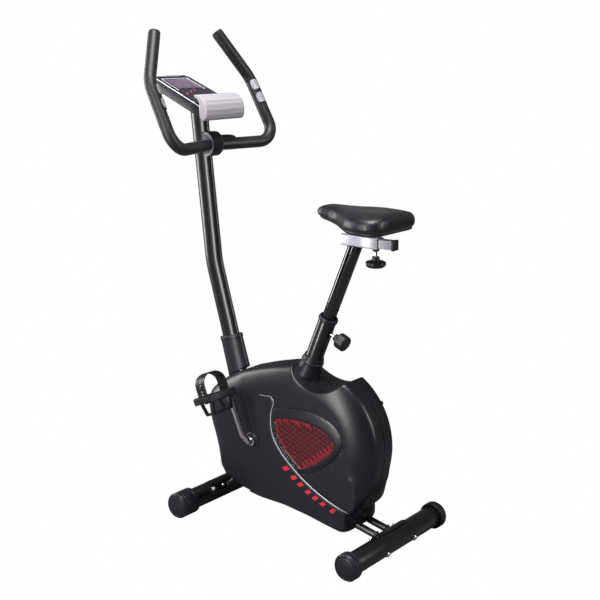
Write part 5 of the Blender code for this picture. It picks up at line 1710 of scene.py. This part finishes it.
def crank():
    """One-piece chromed crank, its eyes, and the nut on each side of the shell."""
    corners = [CRANK + UP_ARM * CRANK_ARM - Y * 0.116, CRANK + UP_ARM * 0.024 - Y * 0.106,
               CRANK - Y * 0.092, CRANK + Y * 0.092, CRANK - UP_ARM * 0.024 + Y * 0.106,
               CRANK - UP_ARM * CRANK_ARM + Y * 0.116]
    path = fillet(corners, [0, 0.030, 0.006, 0.006, 0.030, 0], 8)
    shapes = [sweep(path, oval(0.0088, 0.0088, 40), first_side=Y)]
    for side in (-1, 1):
        eye = CRANK - UP_ARM * side * CRANK_ARM
        boss = [(0.1065, 0), (0.1065, 0.0128), (0.1250, 0.0128), (0.1250, 0)]
        shapes.append(soft_lathe(boss, 0.0016, eye, Y * side, 48))
    piece("crank_forging", merge(*shapes), CHROME, "crank", ["crank"], sharp=50)
    for side, hand in SIDES:
        start = CRANK + Y * side * 0.0775
        nut = hex_prism(start, Y * side, 0.0250, 0.0055)
        piece(f"{hand}_crank_nut", nut, ZINC, "crank")


def pedal(side, hand):
    """Moulded pedal: treads front and rear, a hub, ribs, a loop-shaped weight, and its strap."""
    body = f"{hand}_pedal"
    low, high = 0.130 - PEDAL_OUT, 0.212 - PEDAL_OUT
    shapes = []

    def bar(centre, size, bevel, pitch=0.0):
        shape = bmesh.new()
        bmesh.ops.create_cube(shape, size=1)
        bmesh.ops.scale(shape, vec=size, verts=shape.verts)
        bmesh.ops.bevel(shape, geom=shape.edges[:], offset=bevel, segments=3, affect="EDGES", profile=0.5)
        bmesh.ops.rotate(shape, matrix=Matrix.Rotation(pitch, 3, "Y"), verts=shape.verts)
        for vert in shape.verts:
            vert.co = pedal_point(side, vert.co + Vector(centre))
        if side < 0:
            bmesh.ops.reverse_faces(shape, faces=shape.faces)
        return shape
    mid = (low + high) / 2
    wide = high - low
    shapes.append(bar((-0.0415, mid, 0.0005), (0.0120, wide, 0.0200), 0.0022, radians(-6)))
    shapes.append(bar((0.0415, mid, 0.0005), (0.0120, wide, 0.0200), 0.0022, radians(6)))
    for y in (low + 0.0035, mid, high - 0.0035):
        shapes.append(bar((0, y, 0.0005), (0.0840, 0.0060, 0.0180), 0.0014))
    for k in range(9):
        y = low + wide * (0.08 + 0.105 * k)
        for x in (-0.0415, 0.0415):
            shapes.append(bar((x, y, 0.0108), (0.0100, 0.0030, 0.0022), 0.0006))
    for y in (low + 0.022, high - 0.022):
        for x in (-0.0225, 0.0225):
            shapes.append(bar((x, y, -0.0010), (0.0260, 0.0030, 0.0120), 0.0006))
    hub_start = pedal_point(side, (0, low, 0))
    shapes.append(soft_lathe([(0, 0.0066), (0, 0.0120), (wide, 0.0120), (wide, 0.0066)], 0.0012,
                             hub_start, Y * side, 48, hollow=True))
    cap = [(0, 0), (0, 0.0100), (0.0016, 0.0100), (0.0034, 0.0080), (0.0036, 0)]
    shapes.append(soft_lathe(cap, 0.0008, pedal_point(side, (0, high - 0.0006, 0)), Y * side, 48))
    shapes.append(weight_loop(side, low, high))
    piece(f"{body}_moulding", merge(*shapes), MATTE_BLACK, body, [body])
    strap(side, hand)
    profile = [(0, 0), (0, 0.0085), (0.0040, 0.0085), (0.0044, 0.0062), (0.0885, 0.0062), (0.0885, 0)]
    spindle = soft_lathe(profile, 0.0005, pedal_point(side, (0, -0.0452, 0)), Y * side, 40)
    piece(f"{hand}_spindle_turning", spindle, CHROME, "crank", [f"{hand}_pedal_spindle"])


def weight_loop(side, low, high):
    """The pedal's lower weight: a U in side view with an open middle, and a solid inner part."""
    outer = flat((-0.026, -0.006), (-0.022, -0.020), (-0.015, -0.0455), (0.015, -0.0455), (0.022, -0.020),
                 (0.026, -0.006))
    inner = flat((0.0190, -0.0095), (0.0165, -0.0200), (0.0105, -0.0385), (-0.0105, -0.0385),
                 (-0.0165, -0.0200), (-0.0190, -0.0095))
    outer = fillet(outer, [0, 0.01, 0.008, 0.008, 0.01, 0], 5)
    inner = fillet(inner, [0, 0.01, 0.005, 0.005, 0.01, 0], 5)
    loop = outer + inner
    shapes = []
    for first, last in ((low + 0.001, low + 0.010), (high - 0.010, high - 0.001)):
        rings = [[pedal_point(side, (p.x, y, p.y)) for p in loop] for y in (first, last)]
        shapes.append(loft(rings))
    bottom = flat((-0.0140, -0.0385), (-0.0140, -0.0455), (0.0140, -0.0455), (0.0140, -0.0385))
    bottom = fillet(bottom, 0.002, 3, closed=True)
    rings = [[pedal_point(side, (p.x, y, p.y)) for p in bottom] for y in (low + 0.008, high - 0.008)]
    shapes.append(loft(rings))
    return merge(*shapes)


def strap(side, hand):
    """Ribbed band over the foot, with its adjustment holes on the outer leg."""
    half, height, thick, wide = 0.0445, 0.072, 0.0026, 0.036
    line = [Vector((-half, 0.009))]
    for k in range(33):
        t = pi * k / 32
        line.append(Vector((-cos(t) * half, 0.034 + (height - 0.034) * sin(t) ** 0.8)))
    line.append(Vector((half, 0.009)))
    rings = []
    for k, p in enumerate(line):
        before, after = line[max(k - 1, 0)], line[min(k + 1, len(line) - 1)]
        along = (after - before).normalized()
        inward = Vector((along.y, -along.x))
        points = []
        for x, lift in STRAP_SECTION:
            q = p + inward * (thick - lift)
            points.append(pedal_point(side, (x * wide / 2, q.x, q.y)))
        rings.append(points)
    band = loft(rings)
    body = f"{hand}_pedal"
    thing = piece(f"{hand}_strap_band", band, STRAP_RUBBER, body, [f"{body}_strap"], sharp=30)
    cutters = []
    for k in range(5):
        up = 0.016 + 0.0085 * k
        start = pedal_point(side, (0, half + 0.010, up))
        cutters.append(as_cutter("strap_hole", rod(start, start - Y * side * 0.020, 0.0022, 20)))
    carve(thing, *cutters)
    reshade(thing, 30)
    for where in (-half, half):
        out = 1 if where > 0 else -1
        start = pedal_point(side, (0, where - out * 0.0004, 0.0145 if where < 0 else 0.033))
        stud = soft_lathe([(0, 0), (0, 0.0040), (0.0012, 0.0040), (0.0024, 0.0026), (0.0026, 0)], 0.0005,
                          start, Y * side * out, 24)
        end = "in" if out < 0 else "out"
        piece(f"{hand}_strap_stud_{end}", stud, MATTE_BLACK, body)


# ---- Parts inside the housing -------------------------------------------------------------
INNER = {"post_stub": POWDER_BLACK, "flywheel_bracket_left": POWDER_BLACK,
         "flywheel_bracket_right": POWDER_BLACK, "drive_pulley": MATTE_BLACK,
         "left_crank_bearing": ZINC, "right_crank_bearing": ZINC, "drive_belt": RUBBER,
         "flywheel": IRON, "flywheel_axle": ZINC, "idler_pulley": ZINC, "magnet_bracket": ZINC,
         "tension_motor": MATTE_BLACK}


def inner_parts():
    """The drive stays as its CAD bodies, in the right finishes."""
    for node, finish in INNER.items():
        mesh = bpy.data.objects[node].data
        mesh.materials.clear()
        mesh.materials.append(finish)


# ---- Stage --------------------------------------------------------------------------------
def softbox(name, at, toward, wide, tall, power):
    light = bpy.data.lights.new(name, "AREA")
    light.shape = "RECTANGLE"
    light.size, light.size_y = wide, tall
    light.energy = power
    lamp = bpy.data.objects.new(name, light)
    lamp.location = at
    lamp.rotation_euler = (Vector(toward) - Vector(at)).to_track_quat("-Z", "Y").to_euler()
    bpy.context.scene.collection.objects.link(lamp)


def studio_floor():
    """Plain floor: white to the camera, and dim in the bike's reflections."""
    bpy.ops.mesh.primitive_plane_add(size=24)
    ground = bpy.context.object
    ground.name = "studio_floor"
    paint = bpy.data.materials.new("floor_white")
    paint.use_nodes = True
    nodes, links = paint.node_tree.nodes, paint.node_tree.links
    nodes.clear()
    output = nodes.new("ShaderNodeOutputMaterial")
    mix = nodes.new("ShaderNodeMixShader")
    path = nodes.new("ShaderNodeLightPath")
    matte = nodes.new("ShaderNodeBsdfDiffuse")
    matte.inputs["Color"].default_value = (0.17, 0.165, 0.18, 1)
    glow = nodes.new("ShaderNodeEmission")
    links.new(path.outputs["Is Camera Ray"], mix.inputs["Fac"])
    links.new(matte.outputs["BSDF"], mix.inputs[1])
    links.new(glow.outputs["Emission"], mix.inputs[2])
    links.new(mix.outputs["Shader"], output.inputs["Surface"])
    ground.data.materials.append(paint)


def stage():
    """White surroundings for the camera, dim ones for the bike, a floor and four softboxes."""
    scene = bpy.context.scene
    world = bpy.data.worlds.new("studio")
    scene.world = world
    world.use_nodes = True
    nodes, links = world.node_tree.nodes, world.node_tree.links
    back = nodes["Background"]
    path = nodes.new("ShaderNodeLightPath")
    level = nodes.new("ShaderNodeMapRange")
    level.inputs["To Min"].default_value = 0.10
    level.inputs["To Max"].default_value = 1.0
    links.new(path.outputs["Is Camera Ray"], level.inputs["Value"])
    links.new(level.outputs["Result"], back.inputs["Strength"])
    back.inputs["Color"].default_value = (1, 1, 1, 1)
    scene.view_settings.view_transform = "Standard"
    camera = bpy.data.cameras.new("camera")
    camera.sensor_width = 36
    camera.lens = 66.6
    viewer = bpy.data.objects.new("camera", camera)
    viewer.location = (1.945, -2.329, 1.377)
    viewer.rotation_euler = (radians(76.5), 0, radians(38.9))
    scene.collection.objects.link(viewer)
    scene.camera = viewer
    studio_floor()
    softbox("key", (-0.31, -2.18, 1.31), (0, 0, 1.31), 0.28, 2.58, 55)
    softbox("left", (-2.6, -0.7, 1.2), (0, 0, 1.0), 0.55, 2.1, 40)
    softbox("top", (0.2, -0.5, 3.2), (0, 0, 0.6), 1.2, 1.2, 80)
    softbox("rear", (3.4, 0.8, 1.8), (0, 0, 0.6), 0.5, 2.0, 55)


# ---- Build --------------------------------------------------------------------------------
end_caps()
stabiliser_tubes()
base_frame()
bolt_heads()
loose_fasteners()
housing()
seat_boot()
post_sleeve()
seat_tube()
seat_post()
pop_pin()
seat_rails()
slider_knob()
saddle()
handlebar_post()
handlebar()
clamp()
console()
crank()
for hand_side, hand_name in SIDES:
    pedal(hand_side, hand_name)
inner_parts()
stage()
